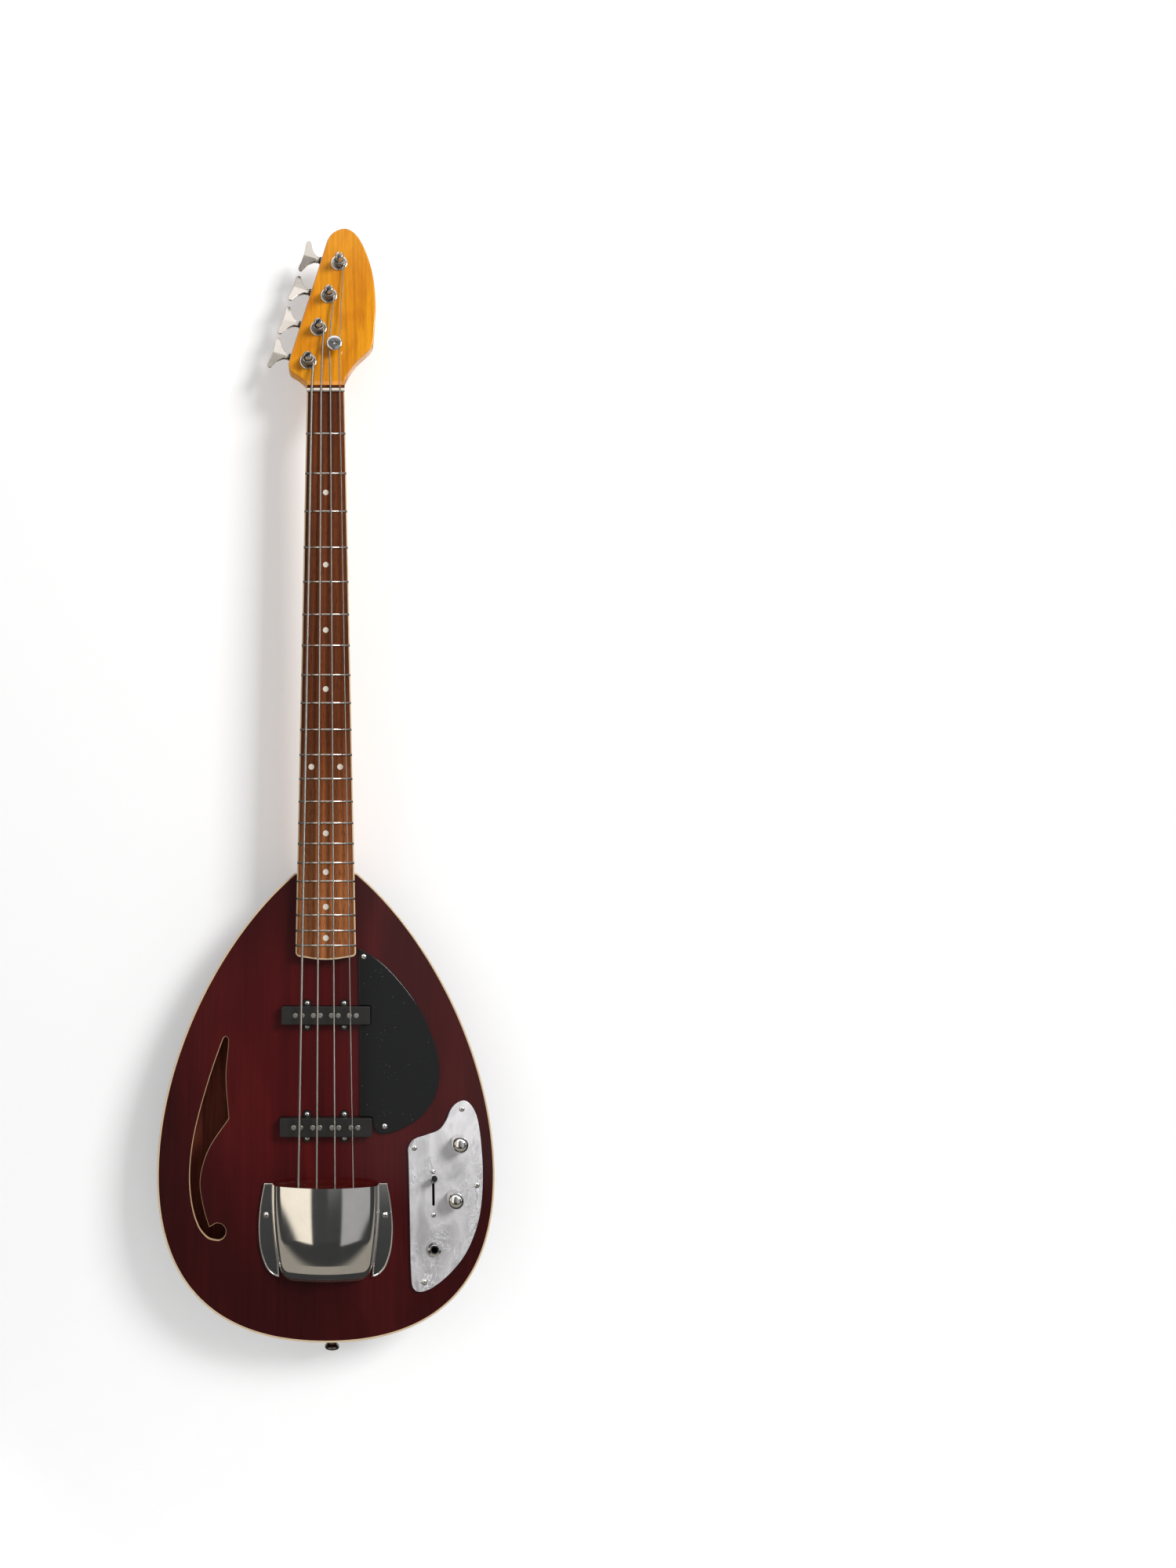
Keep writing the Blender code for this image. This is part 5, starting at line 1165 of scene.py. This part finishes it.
def build_tuner(index):
    """Build one tuner: its cast housing, post, key, ring and bushing."""
    number = index + 1
    place = tuner_frame(index)
    upright = at(POSTS[index].x, 0.0, POSTS[index].z, FACE)
    base = smooth_loop([(-8.3, 13.4, CORNER), (8.4, 13.4, CORNER), (8.4, 0.0, CORNER), (4.9, -7.6),
                        (2.6, -12.2), (0.0, -13.6), (-2.6, -12.2), (-4.9, -7.6),
                        (-8.3, 0.0, CORNER)], 5)
    housing = prism("tuner_housing_%d_finish" % number, "chrome", base, GAP, 3.0, place)
    casting = prism("casting", "chrome", rounded_rectangle(8.25, 5.2, 1.2, (0.05, 8.1)), 2.0, 11.0, place)
    smoothed(casting, 0.9, 50.0, 3)
    # Place along the ridge, half width and height of each section
    sections = ((-5.0, 3.4, 9.0), (-8.5, 2.7, 5.6), (-10.2, 2.2, 3.2))
    ridge = loft("ridge", "chrome", [[(-w, y, 1.2), (w, y, 1.2), (w * 0.7, y, h), (-w * 0.7, y, h)]
                                     for y, w, h in sections], place)
    profile = ((0.0, 1.6), (8.1, 1.6), (8.1, 12.4), (8.0, 12.8), (7.6, 13.0), (0.0, 13.0))
    cap = turned("cap", "chrome", profile, place, 64)
    # The cap's dish takes the pale satin finish, partly a painted reflection.
    dish = prism("dish", "satin_plate_and_painted_reflection", arc((0.0, 0.0), 7.2, 0, 360, 64)[:-1], 12.8, 14.0, place)
    along_key = place @ at(0, WORM_OFFSET, WORM_HEIGHT, Matrix.Rotation(math.pi / 2, 4, "Y"))
    profile = ((0.0, 2.0), (4.3, 2.0), (3.9, 11.0), (3.7, 20.6), (4.3, 21.2), (4.3, 24.0), (4.0, 24.4),
               (3.15, 24.4), (3.15, 10.0), (0.0, 10.0))
    tube = turned("tube", "chrome", profile, along_key, 32)
    worked(housing, "UNION", casting, cap, tube, ridge)
    worked(housing, "DIFFERENCE", dish)
    finished(housing, "tuner_housing_%d" % number, angle=30.0)

    back = -HEAD_BACK_Y
    post = turned("tuner_post_%d_finish" % number, "chrome",
                  ((0.0, 4.4), (3.4, 4.4), (3.8, 4.3), (4.7, 3.3), (4.9, 3.0), (4.9, 1.5), (4.7, 1.2),
                   (POST_WAIST_RADIUS, 0.6), (POST_WAIST_RADIUS, -9.0), (4.8, -9.6), (4.8, back - 1.6),
                   (5.8, back - 1.6), (5.8, back - 8.6), (0.0, back - 8.6)), upright, 40)
    slot = upright @ Matrix.Rotation(math.radians(35 + 12 * index), 4, "Z")
    # The string slot's walls take the dark finish: painted shade.
    worked(post, "DIFFERENCE", box("slot", "dark_nickel_and_recess_shade", (-6.0, -0.9, -2.0), (6.0, 0.9, 6.0), slot))
    finished(post, "tuner_post_%d" % number)

    face = -BUSHING_FACE_Y
    profile = ((5.25, face), (6.3, face), (6.5, face - 0.5), (7.0, face - 0.5), (7.2, face), (8.4, face),
               (8.95, face - 0.15), (9.25, face - 0.5), (9.25, -HEAD_FACE_Y), (6.9, -HEAD_FACE_Y),
               (6.9, -22.0), (5.25, -22.0))
    bushing = turned("tuner_bushing_%d_finish" % number, "chrome", profile, upright, 64, ring=True)
    finished(bushing, "tuner_bushing_%d" % number)

    key_place = tuner_frame(index, KEY_TWISTS[index]) @ at(0, WORM_OFFSET, WORM_HEIGHT)
    spin = key_place @ Matrix.Rotation(math.pi / 2, 4, "Y")
    profile = ((0.0, 36.0), (1.1, 35.6), (1.7, 33.0), (2.5, 29.0), (2.6, 28.0), (2.6, 4.5), (3.3, 4.4),
               (3.3, -4.6), (0.0, -4.6))
    key = turned("tuner_key_%d_finish" % number, "nickel", profile, spin, 32)
    half = ((27.0, 2.7), (31.5, 3.9), (36.8, 9.0), (40.2, 15.2), (43.4, 19.2), (46.7, 16.6),
            (45.9, 8.0), (45.4, 0.0))
    outline = smooth_loop(list(half) + [(v, -u) for v, u in reversed(half[:-1])], 6)
    button = prism("button", "nickel", outline, -3.0, 3.0, key_place)
    roof = [[(x, y, z) for y, z in ((0.0, -1.9), (-21.0, -0.7), (-21.0, 0.7), (0.0, 1.9), (21.0, 0.7),
                                    (21.0, -0.7))] for x in (20.0, 50.0)]
    worked(button, "INTERSECT", loft("roof", "nickel", roof, key_place))
    smoothed(button, 0.5, 50.0, 3, clamp=True)
    finished(worked(key, "UNION", button), "tuner_key_%d" % number, angle=40.0)
    profile = ((2.55, 24.8), (3.7, 24.8), (3.95, 25.1), (3.95, 26.1), (3.7, 26.4), (2.55, 26.4))
    ring = turned("key_ring_%d" % number, "black_plastic", profile, spin, 32, ring=True)
    finished(ring, "tuner_key_%d" % number, "black_plastic")


def crossed(head, arm, half, floor, top, place):
    """Cut a cross recess into a screw's head; the arms are given by their reach and half width. The recess walls
    take a dark finish as painted shade.
    """
    wide = box("wide", "dark_nickel_and_recess_shade", (-arm, -half, floor), (arm, half, top), place)
    high = box("high", "dark_nickel_and_recess_shade", (-half, -arm, floor), (half, arm, top), place)
    return worked(head, "DIFFERENCE", wide, high)


def put_screws(name, node, places, radius, height, seed, turn=FACE):
    """Put small screws with round heads on a node, each turned by its own angle."""
    profile = ((0.0, height), (radius * 0.45, height * 0.92), (radius * 0.8, height * 0.6), (radius, 0.15),
               (radius, -0.2), (0.0, -0.2))
    head = turned("screw", "chrome", profile, turn, 20)
    pattern = crossed(head, radius * 0.52, 0.35, height * 0.35, height + 1, turn)
    screws = scattered(name, pattern, "chrome", places, seed)
    finished(screws, node, "chrome")
    bpy.data.objects.remove(pattern)


class BASS_OT_tuners(bpy.types.Operator):
    """Build the tuners, their screws and the string retainer"""

    bl_idname = "bass.tuners"
    bl_label = "Tuners"

    def execute(self, context):
        for index in range(len(POSTS)):
            build_tuner(index)
        tips = [tuple(tuner_frame(index) @ Vector((0.0, -11.4, 3.0))) for index in range(len(POSTS))]
        put_screws("tuner_screws", "neck", tips, 1.9, 0.9, 4, BACK)
        profile = ((0.0, -0.45), (1.6, -0.3), (3.0, -0.25), (3.2, -0.5), (7.2, -0.5), (8.2, -0.9),
                   (8.8, -1.6), (8.8, -2.6), (8.4, -3.2), (2.9, -3.3), (2.9, -HEAD_FACE_Y),
                   (0.0, -HEAD_FACE_Y))
        place = at(RETAINER_PLACE[0], 0, RETAINER_PLACE[1], FACE)
        retainer = turned("string_retainer_finish", "chrome", profile, place, 64)
        # The screw slot's walls take the dark finish: painted shade.
        worked(retainer, "DIFFERENCE", box("slot", "dark_nickel_and_recess_shade", (-3.4, -0.4, -1.0), (3.4, 0.4, 1.0), place))
        finished(retainer, "string_retainer")
        return {"FINISHED"}


class BASS_OT_pickups(bpy.types.Operator):
    """Build the two pickups with their poles and screws"""

    bl_idname = "bass.pickups"
    bl_label = "Pickups"

    def execute(self, context):
        pole = turned("pole", "steel", ((0.0, -0.62), (2.2, -0.62), (2.5, -0.85), (2.5, -13.0), (0.0, -13.0)),
                      FACE, 24)
        for seed, (name, middle) in enumerate(PICKUP_PLACES.items()):
            shape = rounded_rectangle(PICKUP_LENGTHS[name] / 2, PICKUP_WIDTH / 2, 1.8, (0.0, middle))
            cover = plate(name + "_pickup_cover_finish", "matte_black_plastic", shape, PICKUP_FACE_Y, 17.0)
            smoothed(cover, 0.7, 50.0, 3)
            ears = [rod("ear", "matte_black_plastic", (x, 8.8, z), (x, 12.0, z), EAR_RADIUS)
                    for x, z in ear_places(name)]
            worked(cover, "UNION", *ears)
            poles = pole_places(name)
            holes = [rod("hole", "matte_black_plastic", (x, 0.0, middle), (x, 14.0, middle), 2.72)
                     for x in poles]
            worked(cover, "DIFFERENCE", *holes)
            finished(cover, name + "_pickup_cover")
            refined(name + "_pickup_coil", 0.0)
            tips = scattered(name + "_pole_tips", pole, "nickel", [(x, 0.0, middle) for x in poles], seed)
            finished(tips, name + "_pickup_coil", "nickel")
            put_screws(name + "_pickup_screws", name + "_pickup_cover",
                       [(x, 8.8, z) for x, z in ear_places(name)], 2.6, 1.4, seed + 2)
        bpy.data.objects.remove(pole)
        return {"FINISHED"}


class BASS_OT_plates(bpy.types.Operator):
    """Build the pickguard and the pearl control plate with their screws"""

    bl_idname = "bass.plates"
    bl_label = "Plates"

    def execute(self, context):
        guard = plate("pickguard_finish", "black_plastic", pickguard_outline(), PLATE_FRONT_Y, PLATE_BACK_Y)
        fitted(smoothed(guard, 0.7, 40.0, 2), "pickguard")
        control = plate("control_plate_finish", "pearl_plastic", control_plate_outline(), PLATE_FRONT_Y,
                        PLATE_BACK_Y)
        smoothed(control, 0.8, 40.0, 2)
        switch = AXIS["switch_throw"]
        slot = [point for side, start in ((1, 0), (-1, 180))
                for point in arc((switch.x, switch.z + side * 13.4), 1.3, start, start + 180, 10)]
        x, z = JACK_AXIS
        worked(control, "DIFFERENCE", plate("slot", "black_plastic", slot, 5.0, 12.0),
               rod("jack_hole", "black_plastic", (x, 5.0, z), (x, 12.0, z), 5.1))
        finished(control, "control_plate", angle=50.0)
        put_screws("guard_screws", "pickguard",
                   [(x, PLATE_FRONT_Y, z) for x, z in ((39.9, -619.1), (60.7, -792.1))], 2.8, 1.2, 5)
        put_screws("control_screws", "control_plate",
                   [(x, PLATE_FRONT_Y, z) for x, z in ((140.6, -774.6), (91.2, -813.6), (154.9, -850.6),
                                                       (100.0, -945.5))], 2.8, 1.2, 6)
        put_screws("switch_screws", "control_plate",
                   [(switch.x, PLATE_FRONT_Y, switch.z + dz) for dz in (19.2, -23.8)], 2.4, 1.1, 8)
        return {"FINISHED"}


class BASS_OT_controls(bpy.types.Operator):
    """Build the knobs, the switch lever and the jack"""

    bl_idname = "bass.controls"
    bl_label = "Controls"

    def execute(self, context):
        for name in ("volume", "tone"):
            dome = [tuple(p[:2]) for p in interpolate_bezier(
                Vector((0.0, 9.0)), Vector((4.7, 9.0)), Vector((8.4, 6.9)), Vector((8.7, 2.2)), 14)]
            profile = dome + [(8.85, -6.4), (8.6, -6.9), (7.6, -6.9), (7.4, -4.4), (3.4, -4.4), (3.4, 4.5),
                              (0.0, 4.5)]
            axis = AXIS[name + "_turn"]
            knob = turned(name + "_knob_finish", "chrome", profile, at(axis.x, 0.0, axis.z, FACE), 72)
            finished(knob, name + "_knob")
            refined(name + "_shaft")
            refined(name + "_potentiometer")
        refined("switch_frame")
        refined("switch_lever", 0.3)
        jack = ((3.2, -4.4), (4.4, -4.4), (4.7, -4.7), (4.7, -5.3), (6.9, -5.7), (7.2, -6.3), (7.2, -7.1),
                (4.7, -7.1), (4.7, -10.6), (7.4, -10.6), (7.4, -34.0), (3.2, -34.0))
        place = at(JACK_AXIS[0], 0.0, JACK_AXIS[1], FACE)
        socket = turned("output_jack_finish", "chrome", jack, place, 48, ring=True)
        finished(socket, "output_jack")
        return {"FINISHED"}


def cover_taper(z):
    """Return how far the cover has narrowed at a height, as a share."""
    return max(0.0, (-862.0 - z) / 82.5) ** 1.7


def cover_section(half, rise, z):
    """Return the cover's section from its right foot to its left: steep sides under a broad low arch."""
    foot, corner, crown = Vector((1.0, 0.0)), Vector((0.937, 0.58)), Vector((0.80, 0.69))
    side = foot.lerp(corner, 0.72)
    line = [foot, foot.lerp(corner, 0.36)]
    line += interpolate_bezier(side, side.lerp(corner, 0.8), crown.lerp(corner, 0.8), crown, 10)
    line += [Vector((0.8 * i / 12, 1.0 - 0.31 * (i / 12) ** 2)) for i in range(11, 0, -1)]
    half_line = [(half * p[0], COVER_BASE_Y - rise * p[1], z) for p in line]
    return half_line + [(0.0, COVER_BASE_Y - rise, z)] + [(-x, y, z) for x, y, z in reversed(half_line)]


class BASS_OT_bridge(bpy.types.Operator):
    """Build the bridge and its arched chrome cover with two wings"""

    bl_idname = "bass.bridge"
    bl_label = "Bridge"

    def execute(self, context):
        rows = []
        for z in (COVER_TOP_Z, -852.0, -858.0, -866.0, -875.0, -884.0, -892.0, -899.0):
            rows.append(cover_section(55.5 - 9.5 * cover_taper(z), COVER_HEIGHT, z))
        for step in range(17):
            angle = math.pi / 2 * step / 16
            tail = math.sin(angle) ** (1 / 3)
            z = COVER_SHOULDER_Z - (COVER_SHOULDER_Z - COVER_TAIL_Z) * tail
            half = (55.5 - 9.5 * cover_taper(z)) * max(0.0, math.cos(angle)) ** (1 / 3)
            rise = COVER_HEIGHT * (1 - tail ** 2.6) ** (1 / 2.6) if step < 16 else 0.0
            rows.append(cover_section(half, rise, z))

        def arches(bm):
            lines = [[bm.verts.new(point) for point in row] for row in rows]
            for one, two in zip(lines, lines[1:]):
                for i in range(len(one) - 1):
                    bm.faces.new((one[i], one[i + 1], two[i + 1], two[i]))

        cover = solid("bridge_cover_finish", "chrome", arches)
        wall = cover.modifiers.new("wall", "SOLIDIFY")
        wall.thickness = 1.2 * MM
        wall.offset = -1.0
        bake(cover)
        outer = ((63.2, COVER_TOP_Z), (66.9, -868.0), (68.7, -891.0), (67.0, -913.0), (61.4, -930.0),
                 (55.5, -937.2), (50.5, -939.9), (47.0, -940.6))
        inner = [(54.0 - 9.0 * cover_taper(z), z)
                 for z in (-925.5, -914.0, -900.0, -884.0, -866.0, COVER_TOP_Z)]
        for side in (1, -1):
            shape = smooth_loop([(side * x, z, CORNER) if z == COVER_TOP_Z or (x, z) in outer[-2:]
                                 else (side * x, z) for x, z in list(outer) + inner], 4)
            levels = [(0.0, COVER_BASE_Y)]
            levels += [(0.8 - x, COVER_BASE_Y - 1.6 - y) for x, y in arc((0, 0), 0.8, 0, 180, 8)]
            wing = loft("wing", "chrome", [[(x, y, z) for x, z in drawn_in(shape, side * inset)]
                                           for inset, y in levels + [(1.6, COVER_BASE_Y - 1.0)]])
            worked(cover, "UNION", wing)
        finished(cover, "bridge_cover", angle=40.0)
        for side, name in ((-1, "left"), (1, "right")):
            place = at(side * COVER_SCREW[0], 0, COVER_SCREW[1], FACE)
            profile = ((0.0, -4.5), (1.3, -4.7), (2.4, -5.3), (3.0, -6.2), (3.0, -6.75), (1.2, -6.75),
                       (1.2, -19.5), (0.0, -19.5))
            head = turned("cover_screw_%s_finish" % name, "chrome", profile, place, 32)
            crossed(head, 1.5, 0.35, -5.4, -4.0, place)
            finished(head, "cover_screw_" + name)
        refined("bridge_plate")
        for name in STRING_NAMES:
            refined("saddle_" + name, 0.3)
        return {"FINISHED"}


class BASS_OT_back(bpy.types.Operator):
    """Build the neck plate with its four screws, and the strap buttons"""

    bl_idname = "bass.back"
    bl_label = "Back"

    def execute(self, context):
        front, back = BODY_BACK_Y + 0.05, BODY_BACK_Y + GAP + 1.6
        half_x, half_z = NECK_SCREW_HALF
        # The neck plate's pale satin finish is partly a painted reflection.
        neck_plate = plate("neck_plate_finish", "satin_plate_and_painted_reflection",
                           rounded_rectangle(*NECK_PLATE_HALF, 6.0, (0.0, NECK_PLATE_Z), 12), front, back)
        smoothed(neck_plate, 0.45, 50.0, 3)
        places = [(sx * half_x, NECK_PLATE_Z + sz * half_z) for sz in (1, -1) for sx in (-1, 1)]
        # Dark seats round the screw heads: painted shade of the countersinks.
        seats = [rod("seat", "dark_nickel_and_recess_shade", (x, back - 0.7, z), (x, back + 1.0, z), 5.7) for x, z in places]
        worked(neck_plate, "DIFFERENCE", *seats)
        finished(neck_plate, "neck_plate", angle=50.0)
        for number, (x, z) in enumerate(places, 1):
            place = at(x, 0.0, z, BACK @ Matrix.Rotation(0.5 * number, 4, "Z"))
            seat = back - 0.4
            screw = turned("neck_screw_%d_finish" % number, "chrome",
                           ((0.0, seat + 2.7), (1.6, seat + 2.6), (3.2, seat + 2.1), (4.3, seat + 1.2),
                            (4.7, seat + 0.4), (4.7, seat), (2.2, seat), (2.2, 12.0), (0.0, 12.0)), place, 40)
            crossed(screw, 2.4, 0.55, seat + 1.1, seat + 4.0, place)
            finished(screw, "neck_screw_%d" % number)
        profile = ((0.0, 13.2), (2.2, 13.2), (2.9, 13.6), (3.2, 14.2), (6.0, 14.2), (6.9, 13.8), (7.3, 13.0),
                   (7.3, 11.8), (6.9, 11.0), (5.2, 9.4), (4.4, 8.2), (4.0, 6.4), (4.1, 4.6), (4.6, 2.8),
                   (5.5, 1.2), (5.6, 0.0), (1.9, 0.0), (1.9, -9.0), (0.0, -9.0))
        for name, (spot, turn) in STRAP_BUTTONS.items():
            place = at(*spot, Matrix.Rotation(turn, 4, "X"))
            button = turned(name + "_finish", "dark_nickel_and_recess_shade", profile, place, 56)
            finished(button, name, angle=50.0)
        refined("truss_rod", 0.0)
        return {"FINISHED"}


def stage_material(name):
    """Start an empty stage material, and return it with its tree and its output."""
    material = bpy.data.materials.new(name)
    material.use_nodes = True
    material.node_tree.nodes.clear()
    return material, material.node_tree, material.node_tree.nodes.new("ShaderNodeOutputMaterial")


def seen_rays(tree):
    """Return 1 for camera, glossy and transmission rays, and 0 for the rest."""
    path = add(tree, "ShaderNodeLightPath").outputs
    either = maths(tree, "MAXIMUM", path["Is Camera Ray"], path["Is Glossy Ray"])
    return maths(tree, "MAXIMUM", either, path["Is Transmission Ray"])


def white_paint(name, glow, upright):
    """White paint that glows a little, takes a shadow, and fades away far from the instrument."""
    material, tree, output = stage_material(name)
    paint = add(tree, "ShaderNodeBsdfDiffuse", {"Color": (0.85, 0.85, 0.85, 1.0)}).outputs[0]
    strength = maths(tree, "MULTIPLY", seen_rays(tree), glow)
    light = add(tree, "ShaderNodeEmission", {"Strength": strength}).outputs[0]
    lit = add(tree, "ShaderNodeAddShader", {0: paint, 1: light}).outputs[0]
    nothing = add(tree, "ShaderNodeBsdfTransparent").outputs[0]
    place = add(tree, "ShaderNodeSeparateXYZ", {0: add(tree, "ShaderNodeTexCoord").outputs["Object"]}).outputs
    over = maths(tree, "MAXIMUM", maths(tree, "SUBTRACT", maths(tree, "ABSOLUTE", place["Z"]), 0.6), 0.0)
    aside = add(tree, "ShaderNodeCombineXYZ", {0: place["X"], 1: place["Y"], 2: over}).outputs[0]
    far = add(tree, "ShaderNodeVectorMath", {0: aside}, operation="LENGTH").outputs["Value"]
    share = add(tree, "ShaderNodeMapRange", {"Value": far, "From Min": 0.3, "From Max": 0.75},
                interpolation_type="SMOOTHSTEP").outputs[0]
    if upright:
        share = maths(tree, "MAXIMUM", share, add(tree, "ShaderNodeNewGeometry").outputs["Backfacing"])
    mix = add(tree, "ShaderNodeMixShader", {0: share, 1: lit, 2: nothing}).outputs[0]
    tree.links.new(mix, output.inputs["Surface"])
    return material


def soft_window(tree, across, up, low, high, soft):
    """Return a soft bright rectangle between two corners."""
    product = 1.0
    for value, a, b in ((across, low[0], high[0]), (up, low[1], high[1])):
        for edge, inside in ((a - soft, a), (b + soft, b)):
            side = add(tree, "ShaderNodeMapRange", {"Value": value, "From Min": edge, "From Max": inside},
                       interpolation_type="SMOOTHSTEP").outputs[0]
            product = maths(tree, "MULTIPLY", side, product)
    return product


def room():
    """The dim room that the gloss mirrors, with soft windows in front of and behind the instrument."""
    material, tree, output = stage_material("stage_room")
    place = add(tree, "ShaderNodeSeparateXYZ", {0: add(tree, "ShaderNodeTexCoord").outputs["Object"]}).outputs
    depth = maths(tree, "ABSOLUTE", place["Y"])
    across = maths(tree, "DIVIDE", place["X"], depth)
    up = maths(tree, "DIVIDE", place["Z"], depth)
    in_front = maths(tree, "LESS_THAN", place["Y"], 0.0)
    total = add(tree, "ShaderNodeMapRange", {"Value": up, "From Min": -0.45, "From Max": 0.3, "To Min": 0.045,
                                             "To Max": 0.15}).outputs[0]
    for front, low, high, soft, strength, tint in ROOM_WINDOWS:
        window = soft_window(tree, across, up, low, high, soft)
        side = in_front if front else maths(tree, "SUBTRACT", 1.0, in_front)
        lit = maths(tree, "MULTIPLY", maths(tree, "MULTIPLY", window, side), strength)
        glow = add(tree, "ShaderNodeVectorMath", {0: tint, "Scale": lit}, operation="SCALE").outputs[0]
        total = add(tree, "ShaderNodeVectorMath", {0: total, 1: glow}, operation="ADD").outputs[0]
    light = add(tree, "ShaderNodeEmission", {"Color": total}).outputs[0]
    tree.links.new(light, output.inputs["Surface"])
    return material


def stage_piece(name, material, place, width, height, seen_by):
    """Add a square, round or hollow stage piece that only the listed kinds of ray see."""
    bm = bmesh.new()
    if height is None:
        bmesh.ops.create_uvsphere(bm, u_segments=64, v_segments=32, radius=width / 2)
    elif height:
        bmesh.ops.create_grid(bm, x_segments=1, y_segments=1, size=0.5,
                              matrix=FACE @ Matrix.Diagonal((width, height, 1.0, 1.0)))
    else:
        bmesh.ops.create_circle(bm, cap_ends=True, segments=96, radius=width / 2)
    mesh = bpy.data.meshes.new(name)
    bm.to_mesh(mesh)
    bm.free()
    mesh.materials.append(material)
    piece = new_piece(name, mesh)
    piece.location = place
    for kind in ("camera", "diffuse", "glossy", "transmission", "shadow"):
        setattr(piece, "visible_" + kind, kind in seen_by)


def soft_light(name, place, size, power, mirrored_too):
    """Add a square soft light that points at the middle of the instrument."""
    data = bpy.data.lights.new(name, "AREA")
    data.size = size
    data.energy = power
    lamp = bpy.data.objects.new(name, data)
    lamp.location = place
    lamp.visible_glossy = mirrored_too
    lamp.rotation_euler = (Vector((0.0, 0.0, -0.5)) - Vector(place)).to_track_quat("-Z", "Y").to_euler()
    bpy.context.scene.collection.objects.link(lamp)


class BASS_OT_stage(bpy.types.Operator):
    """Add the camera, the white wall, the floor, the mirrored room and the soft lights"""

    bl_idname = "bass.stage"
    bl_label = "Stage"

    def execute(self, context):
        scene = context.scene
        data = bpy.data.cameras.new("camera")
        data.sensor_fit = "VERTICAL"
        data.sensor_height = SENSOR
        data.lens = SENSOR * FOCAL_PIXELS / PHOTO_HEIGHT
        data.shift_x = (PHOTO_WIDTH / 2 - PICTURE_AXIS_X) / PHOTO_HEIGHT
        data.clip_start = 0.01
        camera = bpy.data.objects.new("camera", data)
        camera.location = CAMERA_PLACE
        camera.rotation_euler = (math.radians(90.0 + CAMERA_PITCH), 0.0, 0.0)
        scene.collection.objects.link(camera)
        scene.camera = camera

        stage_piece("stage_wall", white_paint("stage_wall", 0.26, True), (0.0, WALL_Y, -0.4), 9.0, 9.0,
                    ("camera", "shadow"))
        stage_piece("stage_floor", white_paint("stage_floor", 0.50, False), (0.0, 0.0, FLOOR_Z), 4.0, 0.0,
                    ("camera", "diffuse", "shadow"))
        stage_piece("stage_room", room(), (0.0, 0.0, -0.55), 8.0, None, ("glossy",))

        for lamp in LAMPS:
            soft_light(*lamp)

        world = bpy.data.worlds.new("studio")
        scene.world = world
        world.use_nodes = True
        tree = world.node_tree
        tree.nodes.clear()
        shown = add(tree, "ShaderNodeBackground", {"Color": WHITE, "Strength": 1.0}).outputs[0]
        lit = add(tree, "ShaderNodeBackground", {"Color": WHITE, "Strength": 0.36}).outputs[0]
        mix = add(tree, "ShaderNodeMixShader", {0: seen_rays(tree), 1: lit, 2: shown}).outputs[0]
        add(tree, "ShaderNodeOutputWorld", {"Surface": mix})
        scene.view_settings.view_transform = "Standard"
        return {"FINISHED"}


class BASS_PT_panel(bpy.types.Panel):
    """Lists the steps that dress the bass guitar, and its sizes and colours"""

    bl_label = "Bass guitar"
    bl_idname = "BASS_PT_panel"
    bl_space_type = "VIEW_3D"
    bl_region_type = "UI"
    bl_category = "Bass guitar"

    def draw(self, context):
        for step in STEPS:
            self.layout.operator("bass." + step)
        for group in (context.scene.bass_sizes, context.scene.bass_finishes):
            for name in type(group).__annotations__:
                self.layout.prop(group, name)


STEPS = ("finishes", "body", "neck", "fingerboard", "strings", "tuners", "pickups", "plates", "controls",
         "bridge", "back", "stage")
CLASSES = (BassFinishes, BassSizes, BASS_OT_finishes, BASS_OT_body, BASS_OT_neck, BASS_OT_fingerboard,
           BASS_OT_strings, BASS_OT_tuners, BASS_OT_pickups, BASS_OT_plates, BASS_OT_controls,
           BASS_OT_bridge, BASS_OT_back, BASS_OT_stage, BASS_PT_panel)


def register():
    for cls in CLASSES:
        bpy.utils.register_class(cls)
    bpy.types.Scene.bass_finishes = PointerProperty(type=BassFinishes)
    bpy.types.Scene.bass_sizes = PointerProperty(type=BassSizes)


def unregister():
    del bpy.types.Scene.bass_sizes
    del bpy.types.Scene.bass_finishes
    for cls in reversed(CLASSES):
        bpy.utils.unregister_class(cls)


def main():
    register()
    for step in STEPS:
        getattr(bpy.ops.bass, step)()


if __name__ == "__main__":
    main()
